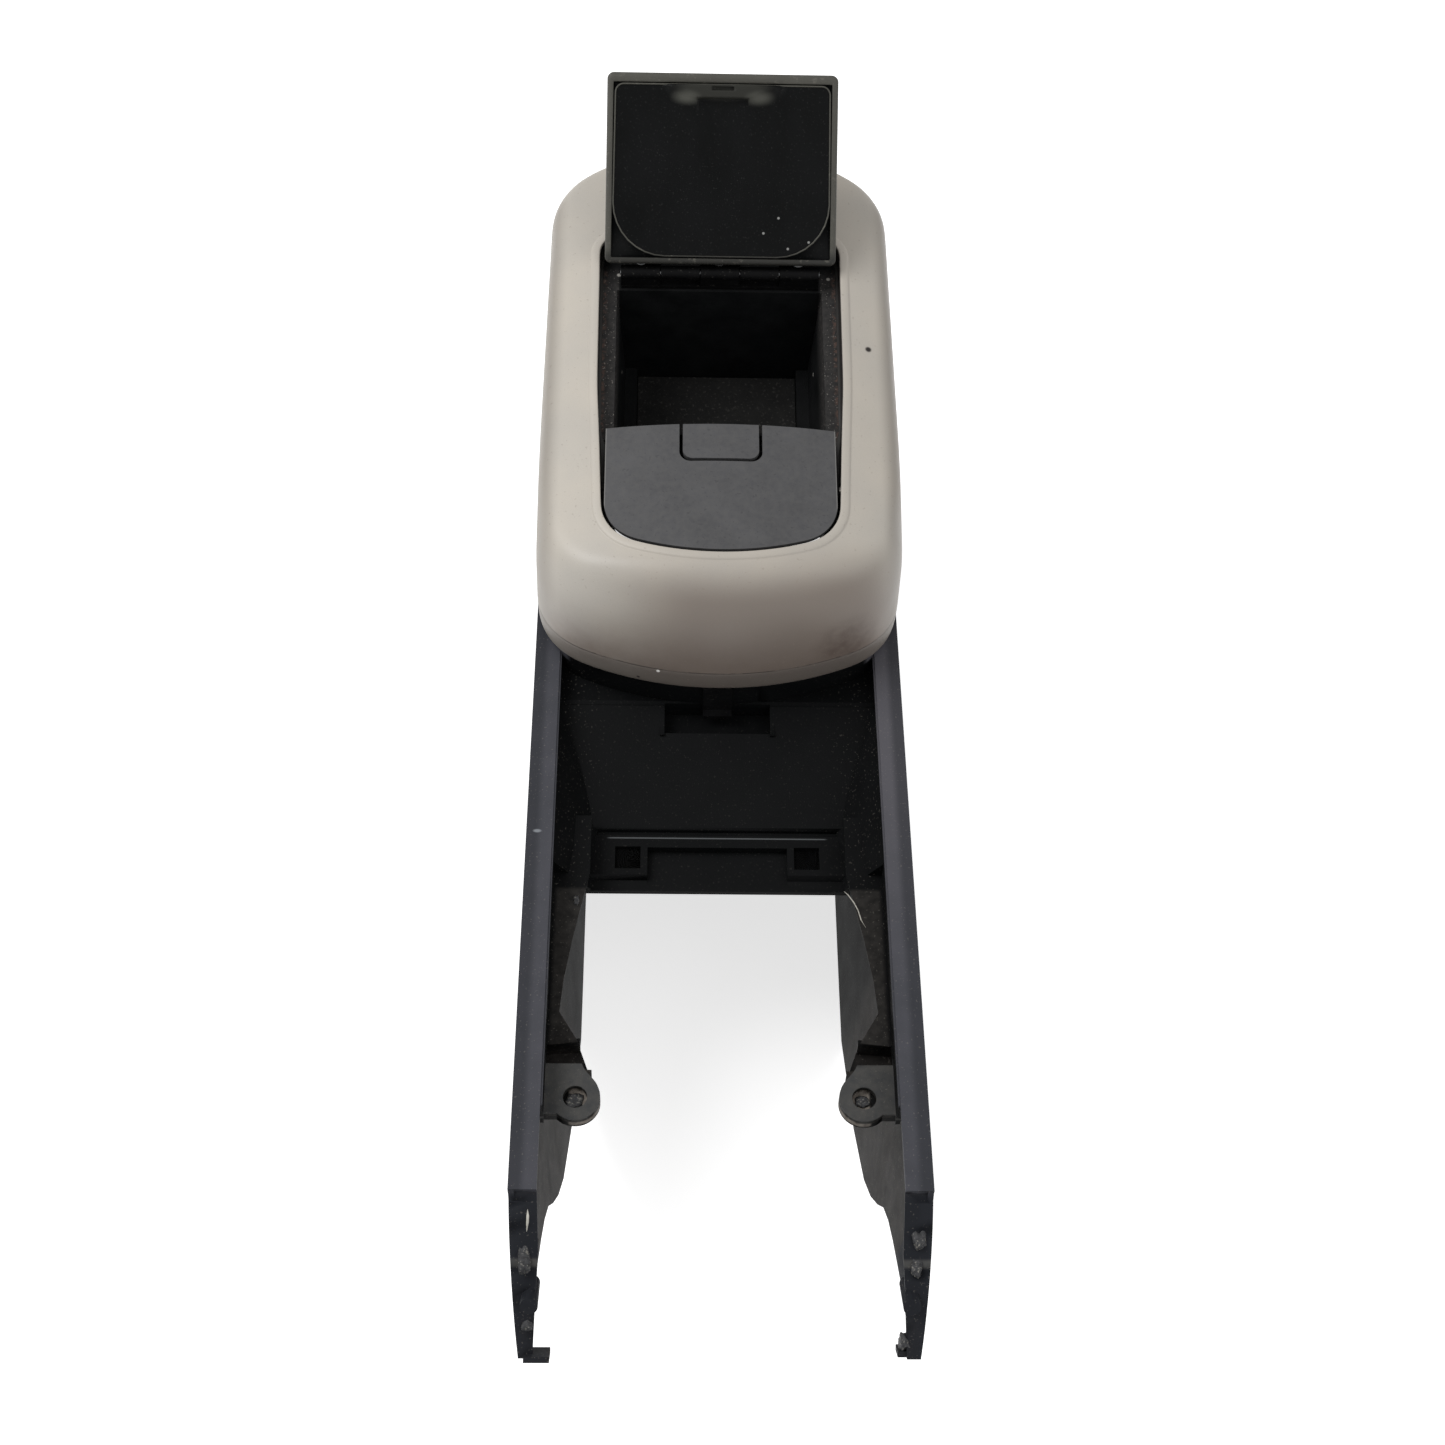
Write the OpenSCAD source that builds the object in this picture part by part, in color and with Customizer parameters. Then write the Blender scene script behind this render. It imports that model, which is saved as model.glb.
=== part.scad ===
// Car center console with a painted surround, a push-button latch and a storage lid, shown open.
// The open front end of the body points to -Y, the back to +Y, Z is up. Sizes in mm.

/* [Body] */
// Width over the two rails
base_w = 215; // [195:1:235]
// Height of the rail tops above the floor
rail_h = 190; // [170:1:220]
// Length from the front ends of the rails to the back of the body
body_l = 650; // [635:1:660]
// Width of a rail's flat top
rail_w = 13.5; // [10:0.5:16]
// Wall thickness of the body
wall_t = 3; // [2:0.5:4]
// Radius of the body's back corners at the rails
rear_r = 50; // [40:1:56]
// Inward lean of the walls in degrees
wall_lean = 7.2; // [4:0.1:9]
// Length of the front horns ahead of the rails
horn_l = 69; // [50:1:85]
// Drop of the horn tips below the rail tops
horn_drop = 49; // [35:1:60]
// Step down from the rails' ends to the horns' faces
horn_step = 3; // [1:0.5:5]
// Depth of the inner shelf below the rail tops
shelf_drop = 20; // [14:1:26]
// Depth of the deck's back edge below the rail tops
deck_drop_back = 14; // [10:1:20]
// Depth of the deck's front fold below the rail tops
deck_drop_front = 34; // [26:1:40]
// Length of the ledge in front of the deck
ledge_l = 38; // [30:1:44]
// Width of the recess in the middle of the ledge
ledge_recess_w = 80; // [60:1:90]
// Side length of the two pockets in the ledge
ledge_pocket = 14.5; // [10:0.5:16]
// Width of the slot behind the deck's back edge
deck_slot_w = 62; // [50:1:70]

/* [Ears] */
// Distance between the middles of the two round recesses
ear_span = 151.8; // [146:0.2:156]
// Radius of a round recess
ear_hole_r = 6.4; // [5:0.1:7.5]
// Radius of an ear's rounded tip
ear_tip_r = 13.2; // [12:0.1:15]
// Thickness of an ear
ear_t = 8; // [6:0.5:10]
// Depth of a round recess
ear_hole_depth = 5; // [3:0.5:5.5]
// Distance of the recesses behind the front ends of the rails
ear_y = 60; // [56:0.5:66]

/* [Surround] */
// Distance of the surround's sides inside the rails' outer faces
bezel_inset = 0.5; // [0.2:0.1:2]
// How much narrower the surround is near its back corners
bezel_taper = 5; // [2:0.5:10]
// Radius of the surround's front corners in plan
corner_r = 48; // [42:1:54]
// Radius of the surround's back corners in plan
back_corner_r = 43; // [36:1:50]
// Radius of the surround's curved front and back in plan
front_r = 190; // [170:1:220]
// Wall thickness of the surround
bezel_t = 3; // [2:0.25:3.5]
// Position of the surround's front face behind the rails' front ends
bezel_y = 311; // [306:1:314]
// Overhang of the surround behind the body
bezel_over = 2; // [0:0.5:4]
// Length over which the surround's top rolls down at the back
back_roll = 18; // [12:1:22]
// Slope of the surround's top in degrees
slope = 7.5; // [6:0.1:9]
// Height of the surround's crown over the opening's edges
crown = 6.7; // [4:0.1:8]
// Height of the turned lip along the surround's lower edge
lip_h = 15; // [10:0.5:20]
// Width of the raised ring round the opening
ring_w = 5.5; // [3:0.25:7]
// Height of the raised ring over the surround
ring_h = 1.2; // [0.6:0.1:2]

/* [Opening] */
// Width of the opening at its front corners
open_front_w = 137; // [132:1:140]
// Width of the opening beside the lid
open_w = 146; // [143:1:150]
// Length of the opening
open_l = 233; // [229:1:238]
// Gap between the front panel and the opening
panel_gap = 1.8; // [1:0.1:2.5]
// Thickness of the front panel
panel_t = 3; // [2:0.25:3.5]

/* [Lid] */
// Gap between the lid's sides and the opening at the hinge
lid_side_gap = 3.25; // [2.5:0.25:4]
// How much narrower the lid is at its free end
lid_taper = 2.5; // [1:0.25:4]
// Thickness of the lid's rim
lid_t = 11; // [9:0.25:11.5]
// Wall thickness of the lid's shell
shell_t = 2.5; // [2:0.1:3]
// Distance from the lid's free end to the hinge axis
lid_reach = 116.5; // [114:0.1:118]
// Gap between the front panel and the free end of the lid
lid_gap = 2.2; // [1.6:0.1:2.4]
// Swing of the lid from shut to fully open in degrees
lid_open = 136.5; // [100:0.5:138]
// Width of the border between the shell's edge and the inner panel
rim_w = 4.2; // [3.6:0.1:5.5]
// Depth of the latch boss on the inner panel
boss_h = 5; // [3:0.5:6]

/* [Bin] */
// Width of each side ledge beside the bin
bin_ledge_w = 10.5; // [9:0.5:13]
// Depth of the bin below its ledges
bin_depth = 80; // [60:1:84]
// Wall thickness of the bin
bin_t = 2.5; // [2:0.1:3]
// Draft of the bin's walls in degrees
bin_draft = 3.6; // [1:0.1:5]
// Height of the two steps along the bin's floor
step_h = 9; // [5:0.5:12]
// Width of a step
step_w = 7; // [5:0.5:10]
// Thickness of the loose mat
mat_t = 2; // [1:0.25:3]

/* [Latch] */
// Width of the latch button
button_w = 44; // [38:0.5:46]
// Length of the latch button
button_l = 24; // [20:0.5:25]
// Gap round the latch button
button_gap = 2; // [1.4:0.1:2.6]
// Radius of the latch button's front corners
button_r = 6; // [4:0.5:8]
// Width of the latch bolt's nose
nose_w = 11; // [8:0.5:12]
// Reach of the nose past the front panel
nose_l = 3.4; // [2.8:0.1:3.6]

/* [Hinge] */
// Radius of the hinge barrel
barrel_r = 4.2; // [3.8:0.1:4.4]
// Radius of the hinge pin
pin_r = 1.8; // [1.4:0.1:2]
// Radial clearance of the hinge pin
pin_clear = 0.1; // [0.05:0.01:0.1]
// Length of the hinge
hinge_w = 120; // [110:1:122]

/* [Fasteners] */
// Shank radius of the screws
screw_r = 1.6; // [1.4:0.1:1.8]
// Head radius of the screws
head_r = 3.2; // [2.8:0.1:3.4]
// Clearance round shanks and between seated pieces
seat = 0.3; // [0.2:0.05:0.35]

/* [Hidden] */
$fn = 64;
e = 0.01;
half_w = base_w / 2;
lower_z = rail_h + 5;
bezel_w = base_w - 2 * bezel_inset;
bezel_back_w = bezel_w - bezel_taper;
bezel_l = body_l + bezel_over - bezel_y;
lid_back_w = open_w - 2 * lid_side_gap;
lid_front_w = lid_back_w - lid_taper;
bin_w = open_w - 2 * bin_ledge_w;
open_y = bezel_y + 38;
open_z = rail_h + 83.6;
hook_y = -horn_l + 6 - 15 * sin(40);
mid_y = (bezel_y + bezel_l + hook_y) / 2;
crown_r = (70 * 70 + crown * crown) / (2 * crown);
panel_back = 84;
lid_front = panel_back + lid_gap;
axis_y = lid_front + lid_reach;
axis_z = -2;
lid_back = axis_y - barrel_r - 1.2;
ledge_z = -lid_t - 1.5;
bin_front = 94;
bin_back = 197;
barrel_n = 5;
barrel_step = hinge_w / barrel_n;
deck_back_z = rail_h - deck_drop_back;
deck_front_z = rail_h - deck_drop_front;
deck_back_y = bezel_y - 1;
deck_fold_y = bezel_y - 72;
deck_edge_y = deck_fold_y - ledge_l;
shelf_z = rail_h - shelf_drop;
bezel_clear = 0.4;
tab_z = rail_h + 11;
rear_y = body_l - rear_r;
foot = rail_h * tan(wall_lean);
wall_x = wall_t / cos(wall_lean);
leaf_y = lid_back - 10;
peg_x = 52;
pegs_y = [lid_front + 22, lid_back - 32];
bolt_z = -7.6;
floor_in = bin_depth * tan(bin_draft);

// Frames shared by the parts

module place() {
    translate([0, -mid_y, 0]) children();
}

module sloped() {
    translate([0, open_y, open_z]) rotate([slope, 0, 0]) children();
}

module swung() {
    sloped() translate([0, axis_y, axis_z]) rotate([-lid_open, 0, 0]) translate([0, -axis_y, -axis_z]) children();
}

module both() {
    children();
    mirror([1, 0, 0]) children();
}

// Outlines

function arc(cx, cy, r, a0, a1, n) = [for (i = [0:n]) [cx + r * cos(a0 + (a1 - a0) * i / n), cy + r * sin(a0 + (a1 - a0) * i / n)]];
function flip(p) = [for (i = [len(p) - 1:-1:0]) [-p[i][0], p[i][1]]];
function bez(a, b, c, d, n) = [for (i = [0:n]) let (t = i / n, u = 1 - t) u * u * u * a + 3 * u * u * t * b + 3 * u * t * t * c + t * t * t * d];

// Right half of the surround's plan, drawn in by s
function plan_half(s) = let (
        fr = front_r - s, fc = bezel_y + front_r, cr = corner_r - s, cx = bezel_w / 2 - corner_r,
        cy = fc - sqrt((front_r - corner_r) * (front_r - corner_r) - cx * cx), fa = -atan2(fc - cy, cx),
        bc = bezel_y + bezel_l - front_r, bx = bezel_back_w / 2 - back_corner_r, br = front_r - back_corner_r,
        by = bc + sqrt(br * br - bx * bx), ba = atan2(by - bc, bx))
    concat(arc(0, fc, fr, -90, fa, 10), arc(cx, cy, cr, fa + 4, 0, 10), [[bezel_w / 2 - s, bezel_y + 130]],
           arc(bx, by, back_corner_r - s, 0, ba, 10), arc(0, bc, fr, ba + 3, 90, 8));

module plan(s) {
    p = plan_half(s);
    polygon(concat(p, flip(p)));
}

// Right half of the opening's plan in the sloped frame, drawn in by s
function mouth_half(s) = let (
        fr = 140 - s, fc = 136, cx = open_front_w / 2 - 30, cr = 30 - s,
        cy = fc - sqrt(110 * 110 - cx * cx), fa = -atan2(fc - cy, cx), br = 12)
    concat(arc(0, fc, fr, -90, fa, 10), arc(cx, cy, cr, fa + 4, 0, 10),
           [[open_front_w / 2 + 1.8 - s, 76], [open_w / 2 - 0.5 - s, 118]],
           arc(open_w / 2 - br, open_l - 4 - br, br - s, 0, 90, 6));

module mouth(s) {
    p = mouth_half(s);
    polygon(concat(p, flip(p)));
}

// Solid under the crowned top, drawn in by d, in the sloped frame
module under_crown(d, y0, y1) {
    translate([0, y0, crown - crown_r]) rotate([-90, 0, 0]) cylinder(r = crown_r - d, h = y1 - y0, $fn = 360);
}

// Cross-section of the surround with its rounded shoulders
function shoulder(s) = [for (i = [0:24]) let (x = (bezel_w / 2 + 1 - s) * i / 24, f = x / (bezel_w / 2 + 1 - s))
    [x, crown - s - x * x / (2 * crown_r) - 9 * pow(f, 14)]];

module top_prism(s) {
    p = shoulder(s);
    q = concat([[0, -150], [0, crown - s]], p, [[bezel_w / 2 + 1 - s, -150]]);
    sloped() both() translate([0, bezel_l, 0]) rotate([90, 0, 0]) linear_extrude(bezel_l + 70) polygon(q);
}

// Side view of the surround: a face that rises steeply and rolls over into the sloping top
module front_prism(s) {
    top_y = bezel_y + 28;
    top_z = open_z + (top_y - open_y) * tan(slope) + crown / cos(slope);
    p = bez([bezel_y + 1 + s, lower_z + lip_h], [bezel_y + 2.5 + s, lower_z + 57 - s * 0.6],
            [top_y - 14 + s * 0.6, top_z - 1.9 - s], [top_y, top_z - s], 16);
    translate([-base_w, 0, 0]) rotate([90, 0, 90]) linear_extrude(2 * base_w)
        polygon(concat([[bezel_y - 10, lower_z - 20], [bezel_y - 10, lower_z + lip_h - 1]], p,
                       [[top_y + bezel_l, top_z + bezel_l], [top_y + bezel_l, lower_z - 20]]));
}

// The same at the back, with a tighter turn
module back_prism(s) {
    back = bezel_y + bezel_l;
    top_y = back - back_roll;
    top_z = open_z + (top_y - open_y) * tan(slope) + crown / cos(slope);
    p = bez([back - s, lower_z + lip_h], [back - 0.5 - s, top_z - 9 - s * 0.6],
            [top_y + 0.6 * back_roll - s * 0.6, top_z + 0.6 * back_roll * tan(slope) - s], [top_y, top_z - s], 12);
    translate([-base_w, 0, 0]) rotate([90, 0, 90]) linear_extrude(2 * base_w)
        polygon(concat([[back + 10, lower_z - 20], [back + 10, lower_z + lip_h - 1]], p,
                       [[top_y - bezel_l, top_z + bezel_l], [top_y - bezel_l, lower_z - 20]]));
}

module bezel_solid(s, z0) {
    intersection() {
        translate([0, 0, z0]) linear_extrude(180) plan(s);
        top_prism(s);
        front_prism(s);
        back_prism(s);
    }
}

module screw(l) {
    cylinder(r = head_r, h = 2);
    translate([0, 0, 1]) cylinder(r = screw_r, h = l);
}

// Body

function horn_curve(d) = bez([0, rail_h - horn_step - d], [-20, rail_h - horn_step - 5 - d],
                             [-horn_l * 0.7 + d * 0.6, rail_h - horn_drop * 0.49 - d],
                             [-horn_l + d, rail_h - horn_drop - d * 0.4], 12);

module side_wall() {
    hy = -horn_l;
    horn = horn_curve(1);
    difference() {
        translate([half_w, 0, rail_h]) rotate([0, wall_lean, 0]) translate([-wall_t, 0, -rail_h])
            rotate([90, 0, 90]) linear_extrude(wall_t) polygon(concat([
            [0, rail_h - 1], [rear_y, rail_h - 1], [rear_y, -6], [186, -1.5], [115, 22], [73, 43], [56, 58],
            [44, 74], [36, 88], [24, 98], [9, 106], [-18, 118], [-43, 126], [hy + 5, rail_h - horn_drop - 5]],
            [for (i = [len(horn) - 1:-1:1]) horn[i]]));
        translate([0, -100, -40]) cube([base_w, body_l + 200, 40]);
    }
}

// Curved flange along a horn's front edge, narrower towards its tip
module horn_face() {
    a = horn_curve(0);
    b = horn_curve(2.4);
    intersection() {
        translate([half_w - 20, 0, 0]) rotate([90, 0, 90]) linear_extrude(22)
            polygon(concat([[2, rail_h - horn_step]], a, [for (i = [len(b) - 1:-1:0]) b[i]],
                           [[2, rail_h - horn_step - 2.4]]));
        translate([half_w, 0, rail_h]) rotate([0, wall_lean, 0]) translate([-60, -horn_l - 10, -rail_h])
            cube([60, horn_l + 20, rail_h + 10]);
        translate([0, 0, rail_h - 70]) linear_extrude(90) polygon([
            [half_w - rail_w - 1, 3], [half_w + 5, 3], [half_w + 5, -horn_l - 5], [half_w - 13, -horn_l - 5],
            [half_w - 16, -horn_l * 0.4]]);
    }
}

module ear() {
    ex = ear_span / 2;
    difference() {
        union() {
            translate([ex, ear_y, shelf_z - ear_t + 3]) cylinder(r = ear_tip_r, h = ear_t);
            translate([ex - 2, ear_y - 9.3, shelf_z - ear_t + 3]) cube([half_w - 9 - ex, 28.7, ear_t]);
            translate([0, 0, shelf_z - ear_t + 3]) linear_extrude(ear_t) polygon(concat(
                [[ex, ear_y], [ex - ear_tip_r * 0.94, ear_y + ear_tip_r * 0.34]],
                bez([ex - ear_tip_r * 0.94, ear_y + ear_tip_r * 0.34], [ex - ear_tip_r * 0.8, ear_y + ear_tip_r * 0.85],
                    [ex - 5, ear_y + 13], [ex - 3, ear_y + 19.4], 8), [[ex + 2, ear_y + 19.4]]));
        }
        translate([ex, ear_y, shelf_z + 3 - ear_hole_depth]) cylinder(r = ear_hole_r, h = 20);
    }
}

module deck() {
    // Sloping deck, ledge and the front lip below it
    translate([-half_w + 10, 0, 0]) rotate([90, 0, 90]) linear_extrude(base_w - 20) polygon([
        [deck_back_y + 6, deck_back_z + 1], [deck_fold_y, deck_front_z + 2.5], [deck_fold_y - 1, deck_front_z - 1.5],
        [deck_fold_y - 4, deck_front_z - 1.5], [deck_fold_y - 4, deck_front_z], [deck_edge_y + 8, deck_front_z - 1],
        [deck_edge_y + 6.5, deck_front_z - 5], [deck_edge_y, deck_front_z - 6], [deck_edge_y, deck_front_z - 9],
        [deck_edge_y + 9, deck_front_z - 8], [deck_fold_y, deck_front_z - 4], [deck_back_y + 6, deck_back_z - 3]]);
}

module base_body() {
    color([0.06, 0.06, 0.07]) place() {
        difference() {
            union() {
                both() side_wall();
                both() horn_face();
                // Rails, the inner faces beside them and the shelves
                both() translate([half_w - rail_w - 1, 0, rail_h - 5]) cube([rail_w + 1, rear_y, 5]);
                both() translate([half_w - rail_w - 2, ear_y - 12, shelf_z - 3])
                    cube([2.5, rear_y - ear_y + 12, shelf_drop + 2]);
                both() translate([0, 0, shelf_z - 3]) linear_extrude(3) polygon([
                    [half_w - rail_w - 1, ear_y + 32], [half_w - 32, ear_y + 34], [half_w - 21.5, ear_y + 52],
                    [half_w - 23.2, ear_y + 72], [half_w - 27, ear_y + 97], [half_w - 35.5, deck_edge_y],
                    [half_w - 35.5, deck_fold_y], [half_w - rail_w - 1, deck_fold_y]]);
                both() hull() {
                    translate([half_w - rail_w - 2, deck_back_y - 6, deck_back_z - 3]) cube([3, 3, 12]);
                    translate([half_w - rail_w - 2, deck_edge_y - 1, shelf_z - 2]) cube([3, 3, 14]);
                    translate([half_w - 38.5, deck_fold_y - 2, deck_front_z - 4]) cube([3, 3, 3.5]);
                    translate([half_w - 35.5, deck_edge_y, deck_front_z - 7]) cube([3, 3, 2.5]);
                }
                both() ear();
                deck();
                // Floor between the deck and the collar
                translate([-half_w + 10, deck_back_y + 3, deck_back_z - 3]) cube([base_w - 20, 56, 3.5]);
                // Pocket between the shelf's front end and the ear
                both() translate([0, 0, shelf_z - 16]) linear_extrude(2.5) polygon([
                    [half_w - 6, ear_y + 17], [ear_span / 2 - 8, ear_y + 17], [half_w - 33, ear_y + 36],
                    [half_w - 6, ear_y + 35]]);
                both() translate([0, 0, shelf_z - 16]) linear_extrude(14) polygon([
                    [half_w - 6, ear_y + 32.5], [half_w - 33, ear_y + 34.5], [half_w - 33, ear_y + 37],
                    [half_w - 6, ear_y + 35]]);
                both() translate([ear_span / 2 - 8, ear_y + 17, shelf_z - 16]) cube([half_w - 6 - ear_span / 2 + 8, 2.4, 12]);
                // Leaning back wall, its rounded corners and the rail round the back
                translate([-half_w + rear_r, 0, 0]) rotate([90, 0, 90]) linear_extrude(base_w - 2 * rear_r) polygon([
                    [body_l - tan(wall_lean), rail_h - 1], [body_l - foot, 0], [body_l - foot - wall_x, 0],
                    [body_l - tan(wall_lean) - wall_x, rail_h - 1]]);
                both() translate([half_w - rear_r, rear_y, 0]) rotate_extrude(angle = 90) polygon([
                    [rear_r - tan(wall_lean), rail_h - 1], [rear_r - foot, 0], [rear_r - foot - wall_x, 0],
                    [rear_r - tan(wall_lean) - wall_x, rail_h - 1]]);
                both() translate([half_w - rear_r, rear_y, rail_h - 5]) rotate_extrude(angle = 90)
                    translate([rear_r - rail_w - 1, 0]) square([rail_w + 1, 5]);
                translate([-half_w + rear_r, body_l - rail_w - 1, rail_h - 5]) cube([base_w - 2 * rear_r, rail_w + 1, 5]);
                // Collar that carries the surround
                difference() {
                    translate([0, 0, deck_back_z - 3]) linear_extrude(tab_z + 3 - deck_back_z + 3) plan(bezel_t + bezel_clear);
                    translate([0, 0, deck_back_z - 5]) linear_extrude(80) plan(bezel_t + bezel_clear + 2.5);
                }
                translate([0, 0, tab_z]) linear_extrude(3) intersection() {
                    plan(bezel_t + bezel_clear);
                    both() for (y = [bezel_y + 60, bezel_y + 160, bezel_y + 250])
                        translate([half_w - 21, y - 8]) square([20, 16]);
                }
            }
            // Slot behind the retainer and the recess and pockets of the ledge
            translate([-deck_slot_w / 2, deck_back_y - 14, deck_back_z - 20]) cube([deck_slot_w, 18.4, 24]);
            translate([-ledge_recess_w / 2, deck_edge_y - 5, deck_front_z - 5.5]) cube([ledge_recess_w, ledge_l - 7, 12]);
            both() translate([ledge_recess_w / 2 + 4, deck_fold_y - 26, deck_front_z - 2.5])
                cube([ledge_pocket, ledge_pocket, 10]);
            // Holes for the screws of the surround
            both() screw_sites() translate([0, 0, tab_z - 5]) cylinder(r = screw_r + seat, h = 20);
            // Open space between the side walls in front of the deck
            translate([-half_w + 37.5, deck_edge_y - 60, shelf_z - 60]) cube([base_w - 75, 60 + e, 80]);
            // Narrow slot behind the left horn's front face
            translate([-half_w + 8, -10, rail_h - 75]) rotate([0, 0, -4]) cube([6, 16, 60]);
        }
        // Floor of the slot
        difference() {
            translate([-deck_slot_w / 2 - 2, deck_back_y - 16, deck_back_z - 14]) cube([deck_slot_w + 4, 23.5, 2.5]);
            both() translate([deck_slot_w / 2 - 1.2, deck_back_y - 12.6, deck_back_z - 20]) cylinder(r = 1, h = 20);
        }
        both() translate([deck_slot_w / 2, deck_back_y - 16, deck_back_z - 14]) cube([2.5, 23.5, 11.5]);
        translate([-deck_slot_w / 2 - 2, deck_back_y + 5, deck_back_z - 14]) cube([deck_slot_w + 4, 2.5, 11.5]);
        translate([-deck_slot_w / 2 - 2, deck_back_y - 17.5, deck_back_z - 14]) cube([deck_slot_w + 4, 2.5, 8]);
        // Bosses and the hook of the horns
        both() translate([half_w - 12, -34, rail_h - 36]) rotate([55, 0, 0]) cylinder(r = 4.5, h = 22);
        translate([-half_w + 9, -horn_l + 6, rail_h - horn_drop - 8]) rotate([40, 0, 0]) cube([13, 3, 15]);
        translate([half_w - 18, -horn_l + 8, rail_h - horn_drop - 8]) rotate([40, 0, 0]) cube([9, 3, 11]);
    }
}

// Surround

module screw_sites() {
    for (y = [bezel_y + 60, bezel_y + 160, bezel_y + 250]) translate([half_w - 14.5, y, 0]) children();
}

module bin_sites() {
    for (y = [bin_front + 10, bin_back - 14]) translate([open_w / 2 + 8, y, 0]) children();
}

module panel_sites() {
    translate([30, 4.5, crown - 33 * 33 / (2 * crown_r) - panel_t - 2.5 - 2 * seat]) children();
    translate([open_front_w / 2 - 5, 62, crown - 66 * 66 / (2 * crown_r) - panel_t - 2.5 - 2 * seat]) children();
}

module bezel() {
    color([0.72, 0.70, 0.66]) place() difference() {
        union() {
            difference() {
                bezel_solid(0, lower_z);
                bezel_solid(bezel_t, lower_z - 1);
                sloped() translate([0, 0, ledge_z]) linear_extrude(60) mouth(0);
            }
            // Raised ring and throat round the opening
            sloped() intersection() {
                linear_extrude(60, center = true) difference() {
                    mouth(-ring_w);
                    mouth(0);
                }
                difference() {
                    under_crown(-ring_h, -20, open_l + 10);
                    under_crown(bezel_t, -21, open_l + 11);
                }
            }
            sloped() intersection() {
                translate([0, 0, ledge_z + seat]) linear_extrude(60) difference() {
                    mouth(-2.5);
                    mouth(0);
                }
                under_crown(0, -20, open_l + 10);
            }
            // Shelf under the front panel
            sloped() intersection() {
                linear_extrude(60, center = true) difference() {
                    mouth(-1);
                    mouth(9);
                    translate([-100, panel_back - 4]) square([200, 200]);
                }
                difference() {
                    under_crown(panel_t + seat, -20, panel_back + 10);
                    under_crown(panel_t + seat + 2.5, -21, panel_back + 11);
                }
            }
            // Bosses for the screws of the bin and of the body
            sloped() both() bin_sites() translate([0, 0, ledge_z + seat]) cylinder(r = 4, h = -4.3 - ledge_z - seat);
            intersection() {
                bezel_solid(1, lower_z);
                both() screw_sites() translate([0, 0, tab_z + 3 + seat]) {
                    cylinder(r = 4, h = 16);
                    translate([0, -1, 0]) cube([14, 2, 16]);
                }
            }
        }
        sloped() both() bin_sites() translate([0, 0, ledge_z - 1]) cylinder(r = screw_r + seat, h = 7.5);
        both() screw_sites() translate([0, 0, tab_z]) cylinder(r = screw_r + seat, h = 17);
        sloped() both() panel_sites() translate([0, 0, -4]) cylinder(r = screw_r + seat, h = 9);
    }
}

module bezel_retainer() {
    color([0.1, 0.1, 0.11]) place() {
        translate([-8.5, bezel_y + 0.8, deck_back_z - 4]) cube([17, bezel_t + bezel_clear - 0.8 - seat, lower_z - deck_back_z + 4 - seat]);
        translate([-8.5, bezel_y - 4, deck_back_z - 4]) cube([17, 7, 2.4]);
    }
}

module bezel_screws() {
    color([0.5, 0.5, 0.52]) place()
        both() screw_sites() translate([0, 0, tab_z - 2 - seat]) screw(15);
}

// Front panel

module panel_plan() {
    intersection() {
        mouth(panel_gap);
        translate([-100, -20]) square([200, panel_back + 20]);
    }
}

module button_plan(g) {
    w = button_w / 2 + g;
    y0 = panel_back - button_l - g;
    r = button_r + g / 2;
    translate([-w + r, y0]) square([2 * (w - r), button_l + 40]);
    translate([-w, y0 + r]) square([2 * w, button_l + g - r + 0.0 + (g > 0 ? 30 : 0)]);
    translate([-w + r, y0 + r]) circle(r = r);
    translate([w - r, y0 + r]) circle(r = r);
}

module front_panel() {
    color([0.33, 0.33, 0.34]) place() sloped() {
        difference() {
            intersection() {
                linear_extrude(60, center = true) panel_plan();
                difference() {
                    under_crown(0, -20, panel_back + 10);
                    under_crown(panel_t, -21, panel_back + 11);
                }
            }
            translate([0, 0, -30]) linear_extrude(60) button_plan(button_gap);
            both() panel_sites() translate([0, 0, -9]) cylinder(r = screw_r + seat, h = 13.7);
        }
        // Bosses for the screws of the latch housing
        both() translate([button_w / 2 + 8, panel_back - 18, -1]) difference() {
            cylinder(r = 3.6, h = crown - panel_t + 1);
            translate([0, 0, -1]) cylinder(r = screw_r + seat, h = 4.4);
        }
    }
}

module panel_screws() {
    color([0.5, 0.5, 0.52]) place() sloped() both() panel_sites() translate([0, 0, -2]) screw(5.4);
}

// Latch

module latch_housing() {
    w = button_w / 2 + button_gap + 2.5;
    color([0.12, 0.12, 0.13]) place() sloped() difference() {
        union() {
            translate([-w, panel_back - button_l - 6, bolt_z - 2.3]) cube([2 * w, button_l + 5.5, 1 - bolt_z]);
            both() translate([w - 1, panel_back - 22, -3.7]) cube([8, 8, 2.4]);
        }
        translate([-w + 2, panel_back - button_l - 4, bolt_z - seat]) cube([2 * w - 4, button_l + 1.5, 20]);
        translate([-nose_w / 2 - 0.5, panel_back - 5, bolt_z - seat]) cube([nose_w + 1, 10, 4.6]);
        both() translate([button_w / 2 + 8, panel_back - 18, -10]) cylinder(r = screw_r + seat, h = 20);
    }
}

module housing_screws() {
    color([0.5, 0.5, 0.52]) place() sloped() both()
        translate([button_w / 2 + 8, panel_back - 18, -3.7 - 2 - seat]) screw(6.2);
}

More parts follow.
